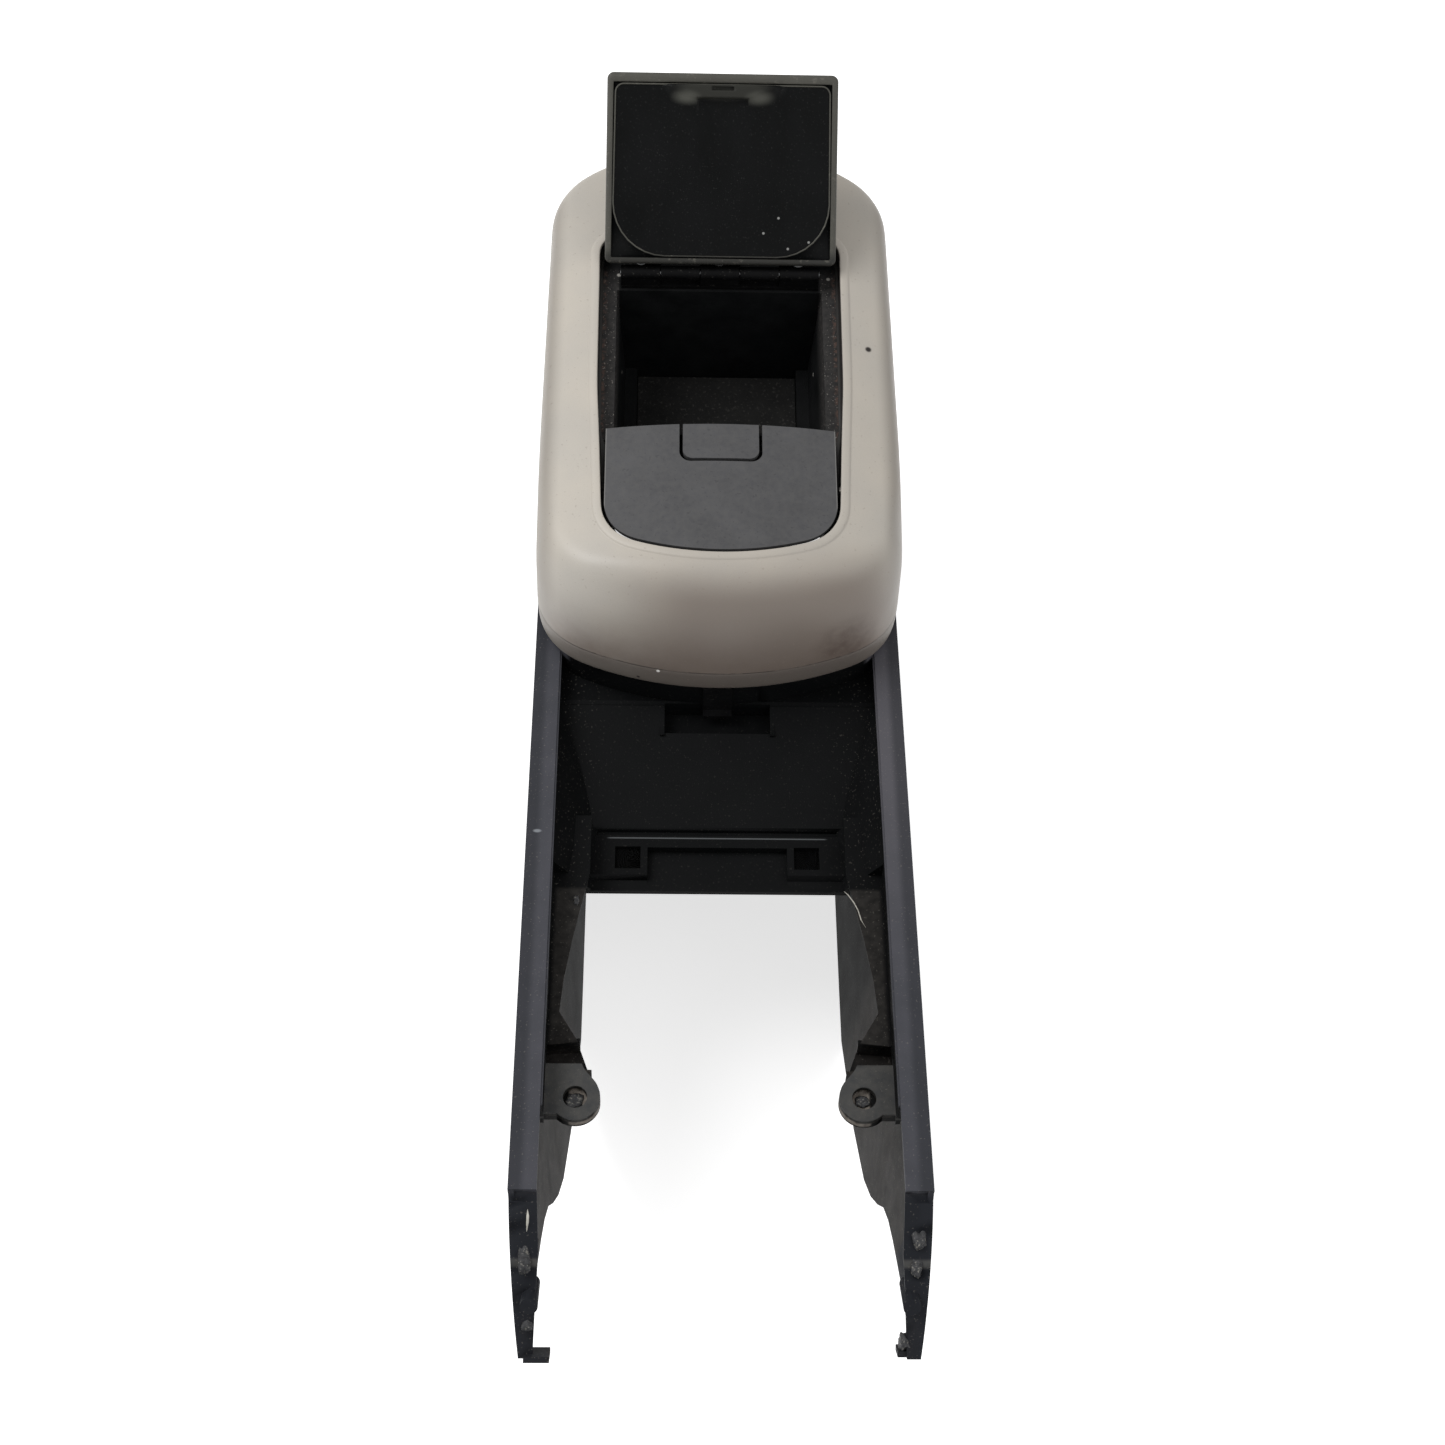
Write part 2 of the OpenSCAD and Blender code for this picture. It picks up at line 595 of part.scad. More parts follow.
module latch_button() {
    u = crown - panel_t;
    color([0.33, 0.33, 0.34]) place() sloped() {
        intersection() {
            translate([0, 0, -30]) linear_extrude(60) intersection() {
                button_plan(0);
                translate([-60, -20]) square([120, panel_back + 20]);
            }
            difference() {
                under_crown(0, -20, panel_back + 10);
                under_crown(panel_t, -21, panel_back + 11);
            }
        }
        // Skirt and the wedges that drive the bolt
        both() translate([14.6, panel_back - button_l + 4, -4]) cube([1.6, button_l - 8, u + 4]);
        both() translate([8, 0, 0]) rotate([90, 0, 90]) linear_extrude(3) polygon([
            [panel_back - 15, u + 0.5], [panel_back - 7, u + 0.5], [panel_back - 7, bolt_z + 5],
            [panel_back - 9, bolt_z + 5], [panel_back - 15, bolt_z + 11]]);
    }
}

module latch_bolt() {
    z = bolt_z;
    color([0.8, 0.8, 0.78]) place() sloped() {
        difference() {
            translate([-14, panel_back - 20, z]) cube([28, 16.5, 4]);
            both() translate([7.4, panel_back - 8.6, z - 1]) cube([4.2, 8, 8]);
        }
        // Ramps that the wedges push on
        both() translate([8, 0, 0]) rotate([90, 0, 90]) linear_extrude(3) polygon([
            [panel_back - 8.6, z + 3], [panel_back - 8.6, z + 4], [panel_back - 11.7, z + 7.1],
            [panel_back - 14, z + 7.1], [panel_back - 14, z + 3]]);
        translate([-nose_w / 2, panel_back - 5, z]) cube([nose_w, 5 + nose_l - 2, 4]);
        translate([-nose_w / 2, 0, 0]) rotate([90, 0, 90]) linear_extrude(nose_w) polygon([
            [panel_back + nose_l - 2.2, z], [panel_back + nose_l, z], [panel_back + nose_l, z + 1.2],
            [panel_back + nose_l - 1.8, z + 4], [panel_back + nose_l - 2.2, z + 4]]);
    }
}

module button_springs() {
    color([0.6, 0.6, 0.62]) place() sloped() both() translate([19.3, panel_back - 15, bolt_z]) difference() {
        cylinder(r = 2.6, h = 2.75 - bolt_z);
        translate([0, 0, -1]) cylinder(r = 1.9, h = 40);
    }
}

// Bin

module bin_space(t) {
    z1 = ledge_z;
    z0 = ledge_z - bin_depth - t;
    w1 = bin_w / 2 + t;
    d = (z1 - z0) * tan(bin_draft);
    intersection() {
        translate([0, 300, 0]) rotate([90, 0, 0]) linear_extrude(400)
            polygon([[-w1, z1 + e], [w1, z1 + e], [w1 - d, z0], [-w1 + d, z0]]);
        translate([-100, 0, 0]) rotate([90, 0, 90]) linear_extrude(200)
            polygon([[bin_front - t, z1 + e], [bin_back + t, z1 + e], [bin_back + t - d, z0], [bin_front - t + d, z0]]);
    }
}

module storage_bin() {
    color([0.09, 0.09, 0.1]) place() sloped() difference() {
        union() {
            bin_space(bin_t);
            translate([-open_w / 2 - 13, panel_back + 1, ledge_z - 2.5]) cube([open_w + 26, open_l - panel_back - 1, 2.5]);
        }
        difference() {
            bin_space(0);
            both() translate([bin_w / 2 - floor_in - step_w, bin_front, ledge_z - bin_depth - 1])
                cube([step_w + 10, bin_back - bin_front, step_h + 1]);
        }
        // Notch for the lid's latch boss
        translate([-37, panel_back - 5, ledge_z - 5]) cube([74, bin_front - panel_back + 6, 10]);
        both() bin_sites() translate([0, 0, ledge_z - 5]) cylinder(r = screw_r + seat, h = 8);
        for (x = [-1, 0, 1])
            translate([x * barrel_step * 2, axis_y + 13.5, ledge_z - 5]) cylinder(r = screw_r + seat, h = 8);
    }
}

module bin_mat() {
    z0 = ledge_z - bin_depth + seat;
    d = floor_in + 1;
    w = bin_w - 2 * floor_in - 2 * step_w - 1;
    color([0.2, 0.2, 0.2]) place() sloped()
        translate([-w / 2, bin_front + d, z0]) cube([w, bin_back - bin_front - 2 * d, mat_t]);
}

module bin_screws() {
    color([0.5, 0.5, 0.52]) place() sloped() both() bin_sites() translate([0, 0, ledge_z - 2.5 - 2 - seat]) screw(9.4);
}

// Lid, drawn shut and then swung open

module lid_plan(s) {
    fw = lid_front_w / 2 - s;
    bw = lid_back_w / 2 - s;
    r = 4;
    p = concat([[fw - r, lid_front + s]], arc(fw - r, lid_front + s + r, r, -90, 0, 5),
               arc(bw - r, lid_back - s - r, r, 0, 90, 5));
    polygon(concat(p, flip(p)));
}

module lid_shell() {
    color([0.2, 0.2, 0.19]) place() swung() difference() {
        union() {
            difference() {
                intersection() {
                    translate([0, 0, -lid_t]) linear_extrude(lid_t + crown + 5) lid_plan(0);
                    under_crown(0, lid_front - 5, lid_back + 5);
                }
                intersection() {
                    translate([0, 0, -lid_t - 1]) linear_extrude(lid_t + crown + 5) lid_plan(shell_t);
                    under_crown(shell_t, lid_front - 5, lid_back + 5);
                }
            }
            // Pads for the hinge leaf and posts for the inner panel
            both() translate([barrel_step, leaf_y, axis_z + 1 + seat]) cylinder(r = 4, h = 4.4);
            both() for (y = pegs_y) translate([peg_x, y, -lid_t + 6]) cylinder(r = 3.4, h = lid_t - 6);
        }
        both() translate([barrel_step, leaf_y, -5]) cylinder(r = screw_r + seat, h = 7.2);
        both() for (y = pegs_y) translate([peg_x, y, -lid_t]) cylinder(r = screw_r + seat, h = lid_t - 1.6);
        // Openings for the latch nose and the hinge leaf
        translate([-nose_w / 2 - 1, lid_front - 5, bolt_z - 0.5]) cube([nose_w + 2, 5 + shell_t + 1, 5]);
        translate([-barrel_step * 1.5 - 2, lid_back - shell_t - 2, -6]) cube([barrel_step * 3 + 4, 8, 8]);
    }
}

module lid_panel() {
    z = -lid_t + 0.6;
    color([0.07, 0.07, 0.08]) place() swung() difference() {
        union() {
            translate([0, 0, z]) linear_extrude(2.2) lid_plan(shell_t + seat);
            translate([0, 0, z - 0.9]) linear_extrude(1) lid_plan(rim_w);
            // Latch boss with sloping flanks
            translate([0, lid_front + shell_t + seat, 0]) translate([0, 9, 0]) rotate([90, 0, 0]) linear_extrude(9)
                polygon([[-34, z], [-23, z - boss_h], [23, z - boss_h], [34, z]]);
            // Stand-offs and pegs that plug into the shell's posts
            both() for (y = pegs_y) {
                translate([peg_x, y, z + 2]) cylinder(r = 3.4, h = 3.4 - seat);
                translate([peg_x, y, z + 2]) cylinder(r = screw_r, h = 6.6);
            }
        }
        translate([-nose_w / 2 - 1, lid_front + shell_t + 1.5, z - boss_h - 5]) cube([nose_w + 2, 1.8, 8]);
    }
}

// Hinge

module hinge_base() {
    color([0.15, 0.15, 0.16]) place() sloped() {
        difference() {
            translate([-hinge_w / 2, axis_y - 4, ledge_z + seat]) cube([hinge_w, 22, 2]);
            for (x = [-1, 0, 1])
                translate([x * barrel_step * 2, axis_y + 13.5, ledge_z - 1]) cylinder(r = screw_r + seat, h = 8);
        }
        for (i = [0, 2, 4])
            translate([-hinge_w / 2 + i * barrel_step + (i == 0 ? 0 : seat), axis_y, 0]) difference() {
                union() {
                    translate([0, 0, axis_z]) rotate([0, 90, 0]) cylinder(r = barrel_r, h = barrel_step - (i == 2 ? 2 : 1) * seat);
                    translate([0, -3.6, ledge_z + seat + 1]) cube([barrel_step - (i == 2 ? 2 : 1) * seat, 5.6, axis_z - ledge_z - 2]);
                }
                translate([-1, 0, axis_z]) rotate([0, 90, 0]) cylinder(r = pin_r + pin_clear, h = barrel_step + 2);
            }
    }
}

module hinge_leaf() {
    color([0.15, 0.15, 0.16]) place() swung() {
        for (i = [1, 3])
            translate([-hinge_w / 2 + i * barrel_step + seat, axis_y, axis_z]) difference() {
                union() {
                    rotate([0, 90, 0]) cylinder(r = barrel_r, h = barrel_step - 2 * seat);
                    translate([0, -12, -1]) cube([barrel_step - 2 * seat, 9.4, 2]);
                }
                translate([-1, 0, 0]) rotate([0, 90, 0]) cylinder(r = pin_r + pin_clear, h = barrel_step + 2);
            }
        difference() {
            translate([-barrel_step * 1.5 + seat, lid_back - 16, axis_z - 1]) cube([barrel_step * 3 - 2 * seat, 14.5, 2]);
            both() translate([barrel_step, leaf_y, axis_z - 5]) cylinder(r = screw_r + seat, h = 10);
        }
    }
}

module hinge_pin() {
    color([0.7, 0.7, 0.72]) place() sloped()
        translate([-hinge_w / 2 - 0.5, axis_y, axis_z]) rotate([0, 90, 0]) cylinder(r = pin_r, h = hinge_w + 1);
}

module base_screws() {
    color([0.5, 0.5, 0.52]) place() sloped() for (x = [-1, 0, 1])
        translate([x * barrel_step * 2, axis_y + 13.5, ledge_z + 2 + 2 * seat + 2]) mirror([0, 0, 1]) screw(6);
}

module leaf_screws() {
    color([0.5, 0.5, 0.52]) place() swung() both()
        translate([barrel_step, leaf_y, axis_z - 1 - 2 - seat]) screw(6);
}

base_body();
bezel();
bezel_retainer();
bezel_screws();
front_panel();
panel_screws();
latch_housing();
housing_screws();
latch_button();
latch_bolt();
button_springs();
storage_bin();
bin_mat();
bin_screws();
lid_shell();
lid_panel();
hinge_base();
hinge_leaf();
hinge_pin();
base_screws();
leaf_screws();
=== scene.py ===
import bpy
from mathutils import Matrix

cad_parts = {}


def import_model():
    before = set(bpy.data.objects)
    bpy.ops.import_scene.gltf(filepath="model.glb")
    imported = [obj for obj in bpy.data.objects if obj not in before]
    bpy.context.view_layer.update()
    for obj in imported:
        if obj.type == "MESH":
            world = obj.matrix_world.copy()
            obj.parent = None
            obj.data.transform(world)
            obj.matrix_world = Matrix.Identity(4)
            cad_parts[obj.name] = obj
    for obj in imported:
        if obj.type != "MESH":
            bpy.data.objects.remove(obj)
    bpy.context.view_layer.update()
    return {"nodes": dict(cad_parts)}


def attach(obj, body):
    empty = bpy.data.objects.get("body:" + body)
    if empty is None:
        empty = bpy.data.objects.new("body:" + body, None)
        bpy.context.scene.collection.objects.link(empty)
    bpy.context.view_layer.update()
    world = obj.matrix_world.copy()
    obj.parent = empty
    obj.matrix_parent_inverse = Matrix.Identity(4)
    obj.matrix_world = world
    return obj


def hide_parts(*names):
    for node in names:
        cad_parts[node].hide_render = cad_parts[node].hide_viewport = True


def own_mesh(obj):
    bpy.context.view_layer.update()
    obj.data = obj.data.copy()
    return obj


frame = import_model()

import math

import bmesh
import bpy
from mathutils import Matrix, Vector

MM = 0.001
nodes = frame["nodes"]

# Measures shared with the solids, in mm, in the drawing's frame: Y runs back from the rails' front ends
BEZEL_Y, BEZEL_L, BEZEL_W, BEZEL_BACK_W = 311.0, 341.0, 214.0, 210.0
CORNER_R, BACK_R, FRONT_R, LIP_H, RING_W, RING_H = 48.0, 38.0, 190.0, 15.0, 5.5, 0.9
OPEN_FRONT_W, OPEN_W, OPEN_L = 137.0, 146.0, 233.0
PANEL_GAP, PANEL_BACK, BUTTON_W, BUTTON_L = 1.8, 84.0, 44.0, 24.0
RAIL_H, BASE_W = 190.0, 215.0
LOWER_Z = RAIL_H + 5
OPEN_Y, OPEN_Z, SLOPE = BEZEL_Y + 38, RAIL_H + 83.6, math.radians(7.5)
CROWN = 6.7
CROWN_R = (70 * 70 + CROWN * CROWN) / (2 * CROWN)
HOOK_Y = -69 + 6 - 15 * math.sin(math.radians(40))
MID_Y = (BEZEL_Y + BEZEL_L + HOOK_Y) / 2
LID_FRONT, LID_REACH, AXIS_Z, LID_OPEN = 86.2, 116.5, -2.0, math.radians(136.5)
AXIS_Y = LID_FRONT + LID_REACH
LID_BACK, LID_BACK_W, LID_FRONT_W = AXIS_Y - 5.4, 139.5, 137.0
LID_T, BOSS_H = 11.0, 4.6


def linear(code):
    """An sRGB hex colour as linear RGBA."""
    parts = [int(code[i:i + 2], 16) / 255 for i in (1, 3, 5)]
    return tuple(p / 12.92 if p <= 0.04045 else ((p + 0.055) / 1.055) ** 2.4 for p in parts) + (1.0,)


def body_at(x, y, z):
    """A point of the drawing's frame, in mm, as a point of the shared frame in metres."""
    return Vector((x, y - MID_Y, z)) * MM


def slope_at(x, y, z):
    """A point of the surround's sloping frame as a point of the shared frame."""
    c, s = math.cos(SLOPE), math.sin(SLOPE)
    return body_at(x, OPEN_Y + y * c - z * s, OPEN_Z + y * s + z * c)


def lid_at(x, y, z):
    """A point of the lid, drawn shut, as a point of the open lid in the shared frame."""
    c, s = math.cos(-LID_OPEN), math.sin(-LID_OPEN)
    dy, dz = y - AXIS_Y, z - AXIS_Z
    return slope_at(x, AXIS_Y + dy * c - dz * s, AXIS_Z + dy * s + dz * c)


# Materials

def add(tree, kind, inputs=None, **settings):
    """Adds one node; inputs are values or sockets to link, settings are its own properties."""
    node = tree.nodes.new(kind)
    for key, value in settings.items():
        setattr(node, key, value)
    for key, value in (inputs or {}).items():
        socket = node.inputs[key]
        if isinstance(value, bpy.types.NodeSocket):
            tree.links.new(value, socket)
        else:
            socket.default_value = value
    return node


def material(name):
    made = bpy.data.materials.new(name)
    made.use_nodes = True
    made.node_tree.nodes.clear()
    return made, made.node_tree


def dress(node, mat):
    """Puts a material on a CAD node."""
    data = nodes[node].data
    data.materials.clear()
    data.materials.append(mat)


def place(tree):
    """Object coordinates in mm, and their three parts."""
    coord = add(tree, "ShaderNodeTexCoord")
    spot = add(tree, "ShaderNodeVectorMath", {0: coord.outputs["Object"], 1: (1000, 1000, 1000)}, operation="MULTIPLY")
    parts = add(tree, "ShaderNodeSeparateXYZ", {0: spot.outputs[0]})
    return spot.outputs[0], parts.outputs[0], parts.outputs[1], parts.outputs[2]


def calc(tree, operation, *values):
    return add(tree, "ShaderNodeMath", dict(enumerate(values)), operation=operation, use_clamp=True).outputs[0]


def width(tree, x):
    """Distance from the middle plane in mm."""
    return add(tree, "ShaderNodeMath", {0: x}, operation="ABSOLUTE").outputs[0]


def fade(tree, value, a, b):
    """0 at a, 1 at b, smooth between them."""
    node = add(tree, "ShaderNodeMapRange", {0: value, 1: a, 2: b}, interpolation_type="SMOOTHSTEP")
    return node.outputs[0]


def both(tree, first, *others):
    for other in others:
        first = calc(tree, "MULTIPLY", first, other)
    return first


def grain(tree, spot, size, detail=3.0, low=0.3, high=0.7):
    """Noise with cells of about size mm, spread over 0 to 1."""
    node = add(tree, "ShaderNodeTexNoise", {"Vector": spot, "Scale": 1 / size, "Detail": detail, "Roughness": 0.55})
    return add(tree, "ShaderNodeMapRange", {0: node.outputs[0], 1: low, 2: high}).outputs[0]


def stretched(tree, spot, scale):
    return add(tree, "ShaderNodeVectorMath", {0: spot, 1: scale}, operation="MULTIPLY").outputs[0]


def near(tree, spot, centre, inner, outer):
    """1 within inner mm of a place, 0 beyond outer mm."""
    node = add(tree, "ShaderNodeVectorMath", {0: spot, 1: centre}, operation="DISTANCE")
    return fade(tree, node.outputs["Value"], outer, inner)


def blend(tree, share, first, second):
    """A colour between two colours."""
    node = add(tree, "ShaderNodeMix", {0: share, 6: first, 7: second}, data_type="RGBA")
    return node.outputs[2]


def scaled(tree, value, low, high):
    """A 0 to 1 value spread over low to high."""
    return add(tree, "ShaderNodeMapRange", {0: value, 3: low, 4: high}).outputs[0]


def coat_of(tree, colour, rough, reliefs, specular=0.5, metallic=0.0, coat=0.0):
    """Principled surface; reliefs are pairs of a height and its depth in mm."""
    normal = None
    for height, depth in reliefs:
        inputs = {"Height": height, "Distance": depth * MM, "Strength": 1.0}
        if normal is not None:
            inputs["Normal"] = normal
        normal = add(tree, "ShaderNodeBump", inputs).outputs[0]
    shader = add(tree, "ShaderNodeBsdfPrincipled", {
        "Base Color": colour, "Roughness": rough, "Metallic": metallic, "Specular IOR Level": specular,
        "Coat Weight": coat, "Coat Roughness": 0.25, "Normal": normal})
    add(tree, "ShaderNodeOutputMaterial", {"Surface": shader.outputs["BSDF"]})


def silver_beige_paint():
    """Satin silver-beige paint with fine flake, painted shade low on the front, on the right side and on the outer
    shoulders, a stain, a mark and a scratch.
    """
    mat, tree = material("silver_beige_satin_paint")
    spot, x, y, z = place(tree)
    cloud, flake = grain(tree, spot, 55), grain(tree, spot, 0.5, 1)
    colour = blend(tree, cloud, linear("#b2ada5"), linear("#bcb5aa"))
    colour = blend(tree, scaled(tree, flake, 0.0, 0.10), colour, linear("#dcd8d0"))
    # Painted shade: the right side darker, as the light falls from the left
    right = fade(tree, x, 10, 90)
    colour = blend(tree, scaled(tree, right, 0.0, 0.22), colour, linear("#989188"))
    # Painted shade: darker low on the front face, which faces down away from the light, mottled by noise; the same mask
    # raises the roughness
    front = fade(tree, y, 75, 40)
    low = both(tree, front, fade(tree, z, 262, 205))
    low_front_shade = both(tree, low, scaled(tree, grain(tree, spot, 14, 5), 0.75, 1.0))
    colour = blend(tree, both(tree, low_front_shade, 0.8), colour, linear("#6f625b"))
    shaded = both(tree, front, fade(tree, x, -85, -10), fade(tree, z, 290, 260))
    colour = blend(tree, both(tree, shaded, 0.74), colour, linear("#6e625a"))
    stain = both(tree, near(tree, spot, (74, 38, 221), 6, 26), scaled(tree, grain(tree, spot, 7, 5), 0.2, 0.8))
    colour = blend(tree, stain, colour, linear("#5b4f48"))
    band = fade(tree, z, 210.6, 209.4)
    colour = blend(tree, both(tree, band, 0.55), colour, linear("#5d5a56"))
    line = both(tree, near_level(tree, z, 209.9, 0.7), fade(tree, grain(tree, spot, 9, 4), 0.25, 0.55))
    colour = blend(tree, both(tree, line, 0.75), colour, linear("#2b2725"))
    dots = both(tree, fade(tree, grain(tree, spot, 2.2, 2), 0.97, 1.0), 0.35)
    colour = blend(tree, dots, colour, linear("#8b8176"))
    # Painted shade: the outer shoulders darker, to tone down their highlight
    edge = both(tree, fade(tree, width(tree, x), 92, 103), 0.5)
    colour = blend(tree, edge, colour, linear("#6d665f"))
    tan_s = math.tan(SLOPE)
    fall = add(tree, "ShaderNodeMath", {0: y, 1: -tan_s, 2: -OPEN_Z + (OPEN_Y - MID_Y) * tan_s - CROWN}, operation="MULTIPLY_ADD").outputs[0]
    fall = add(tree, "ShaderNodeMath", {0: fall, 1: z}, operation="ADD").outputs[0]
    bow = add(tree, "ShaderNodeMath", {0: x, 1: x}, operation="MULTIPLY").outputs[0]
    sunk = add(tree, "ShaderNodeMath", {0: bow, 1: 0.5 / CROWN_R, 2: fall}, operation="MULTIPLY_ADD").outputs[0]
    ahead = add(tree, "ShaderNodeMath", {0: bow, 1: -0.0026, 2: y}, operation="MULTIPLY_ADD").outputs[0]
    throat = both(tree, fade(tree, sunk, -0.5, -1.4), fade(tree, width(tree, x), 74.5, 73.5), fade(tree, ahead, 53, 55),
                  fade(tree, y, 304, 300))
    colour = blend(tree, both(tree, throat, 0.96), colour, linear("#0b0b0c"))
    mark = near(tree, spot, (88.5, 206.4, 288.4), 1.2, 2.6)
    dot = near(tree, spot, (-46.6, 27.2, 198.8), 0.7, 1.3)
    colour = blend(tree, calc(tree, "MAXIMUM", mark, dot), colour, linear("#2a2624"))
    colour = blend(tree, near(tree, spot, (-35, 24.6, 208), 0.7, 1.3), colour, linear("#f1efea"))
    scratch = both(tree, near(tree, stretched(tree, spot, (1, 0.12, 1)), (-96.8, 7.9, 266.3), 0.25, 0.7), 0.6)
    colour = blend(tree, scratch, colour, linear("#e2ded6"))
    rough = scaled(tree, calc(tree, "MAXIMUM", low_front_shade, cloud), 0.36, 0.5)
    coat_of(tree, colour, rough, [(grain(tree, spot, 1.6, 2), 0.02), (flake, 0.006)], 0.35)
    return mat


def near_level(tree, value, level, half):
    """1 at a level, 0 beyond half mm from it."""
    away = add(tree, "ShaderNodeMath", {0: value, 1: level}, operation="SUBTRACT").outputs[0]
    away = add(tree, "ShaderNodeMath", {0: away}, operation="ABSOLUTE").outputs[0]
    return fade(tree, away, half, half * 0.3)


def base_polypropylene():
    """Black moulded polypropylene: bluish rails paler on top for dust and painted sheen, a painted highlight on the
    right rail, a nearly black deck, dusty shelves, worn inner walls and a painted highlight along the deck's step.
    """
    mat, tree = material("black_polypropylene")
    spot, x, y, z = place(tree)
    u = width(tree, x)
    cloud, fine = grain(tree, spot, 24, 4), grain(tree, spot, 0.8, 2)
    colour = blend(tree, cloud, linear("#060708"), linear("#0b0c0d"))
    lean = add(tree, "ShaderNodeMath", {0: z, 1: -math.tan(math.radians(7.2)), 2: u}, operation="MULTIPLY_ADD").outputs[0]
    skin = BASE_W / 2 - RAIL_H * math.tan(math.radians(7.2))
    colour = blend(tree, both(tree, fade(tree, lean, skin - 2.4, skin - 1.2), 0.8), colour, linear("#222428"))
    walls = both(tree, fade(tree, z, 172, 150), fade(tree, u, 70, 76), fade(tree, y, -100, -125), fade(tree, lean, skin - 1.2, skin - 2.2))
    wall_tone = blend(tree, grain(tree, spot, 9, 5), linear("#1a1817"), linear("#322f2d"))
    colour = blend(tree, walls, colour, wall_tone)
    # The rails' tops paler than the rest: partly dust, partly painted sheen where they face the light; lit adds a
    # painted highlight on the right rail
    rail_dust_and_sheen = blend(tree, cloud, linear("#424348"), linear("#4b4b51"))
    lit = both(tree, fade(tree, x, 60, 95), fade(tree, y, -190, 0), 0.6)
    rail_dust_and_sheen = blend(tree, lit, rail_dust_and_sheen, linear("#5f5d62"))
    top = fade(tree, z, 186, 188)
    rails = both(tree, top, fade(tree, u, 86, 90))
    colour = blend(tree, rails, colour, rail_dust_and_sheen)
    outside = both(tree, fade(tree, u, 98, 103), 0.55)
    colour = blend(tree, outside, colour, linear("#26282c"))
    horn = both(tree, fade(tree, y, -289, -292), fade(tree, u, 84, 88))
    colour = blend(tree, both(tree, horn, 0.8), colour, linear("#23252a"))
    shelf = both(tree, near_level(tree, z, 170.3, 1.6), fade(tree, u, 92, 89), fade(tree, y, -98, -101))
    dust = scaled(tree, grain(tree, spot, 5, 6), 0.35, 1.0)
    colour = blend(tree, both(tree, shelf, dust), colour, linear("#33312f"))
    ears = both(tree, near_level(tree, z, 173, 1.6), fade(tree, y, -205, -209))
    colour = blend(tree, both(tree, ears, 0.95), colour, blend(tree, grain(tree, spot, 6, 4), linear("#3f4041"), linear("#4e4d4b")))
    pocket = both(tree, near_level(tree, z, 168, 2.4), fade(tree, y, -205, -209), fade(tree, u, 80, 78))
    colour = blend(tree, pocket, colour, blend(tree, grain(tree, spot, 3, 5), linear("#5a544f"), linear("#8f8880")))
    specks = fade(tree, grain(tree, spot, 1.3, 1), 0.97, 1.0)
    colour = blend(tree, both(tree, specks, scaled(tree, fade(tree, u, 60, 90), 0.04, 0.2)), colour, linear("#8a857d"))
    # Painted highlight: a pale line along the lit edge of the step in the deck
    step_highlight = both(tree, near_level(tree, y, -56.5, 0.6), fade(tree, u, 64, 61), fade(tree, z, 150, 154))
    colour = blend(tree, both(tree, step_highlight, 0.6), colour, linear("#6b6e70"))
    scratch = both(tree, near(tree, stretched(tree, spot, (0.3, 0.6, 1)), (-30.4, -44.7, 190), 0.35, 0.9), fade(tree, u, 96, 98))
    colour = blend(tree, both(tree, scratch, 0.7), colour, linear("#8f9399"))
    rough = scaled(tree, cloud, 0.56, 0.64)
    coat_of(tree, colour, rough, [(fine, 0.03), (grain(tree, spot, 6, 4), 0.02)], 0.1)
    return mat


def grey_abs():
    """Dark grey matte ABS of the panel and the button, mottled by wear, with a painted highlight along its outer side
    edges.
    """
    mat, tree = material("dark_grey_abs")
    spot, x, y, z = place(tree)
    cloud, mottle = grain(tree, spot, 18, 4), grain(tree, spot, 3.2, 5)
    colour = blend(tree, cloud, linear("#464648"), linear("#4f4f51"))
    colour = blend(tree, both(tree, mottle, 0.35), colour, linear("#5f5e5c"))
    colour = blend(tree, both(tree, fade(tree, grain(tree, spot, 2.1, 3), 0.8, 0.95), 0.35), colour, linear("#37373a"))
    u = width(tree, x)
    # Painted highlight: a pale line along the panel's outer side edges
    edge = both(tree, fade(tree, u, 65.9, 66.8), fade(tree, y, 72, 84))
    colour = blend(tree, both(tree, edge, 0.6), colour, linear("#a09e9a"))
    rough = scaled(tree, mottle, 0.5, 0.66)
    coat_of(tree, colour, rough, [(grain(tree, spot, 0.7, 2), 0.035)], 0.3)
    return mat


def olive_abs():
    """Olive-grey grained ABS of the lid's shell, rubbed at its rim, with painted shade towards its hinge end."""
    mat, tree = material("olive_grey_abs")
    spot, x, y, z = place(tree)
    cloud, fine = grain(tree, spot, 30, 4), grain(tree, spot, 0.9, 3)
    colour = blend(tree, cloud, linear("#43423d"), linear("#4e4d47"))
    colour = blend(tree, both(tree, fine, 0.25), colour, linear("#5d5b54"))
    # Painted shade: darker towards the hinge end, low in the opening
    foot = lid_at(0, LID_BACK, -LID_T).z / MM
    colour = blend(tree, both(tree, fade(tree, z, foot + 8, foot + 3), 0.75), colour, linear("#1a1a19"))
    rubbed = fade(tree, grain(tree, spot, 4, 6), 0.72, 0.95)
    colour = blend(tree, both(tree, rubbed, 0.3), colour, linear("#77746b"))
    coat_of(tree, colour, scaled(tree, cloud, 0.48, 0.64), [(fine, 0.05)], 0.3)
    return mat


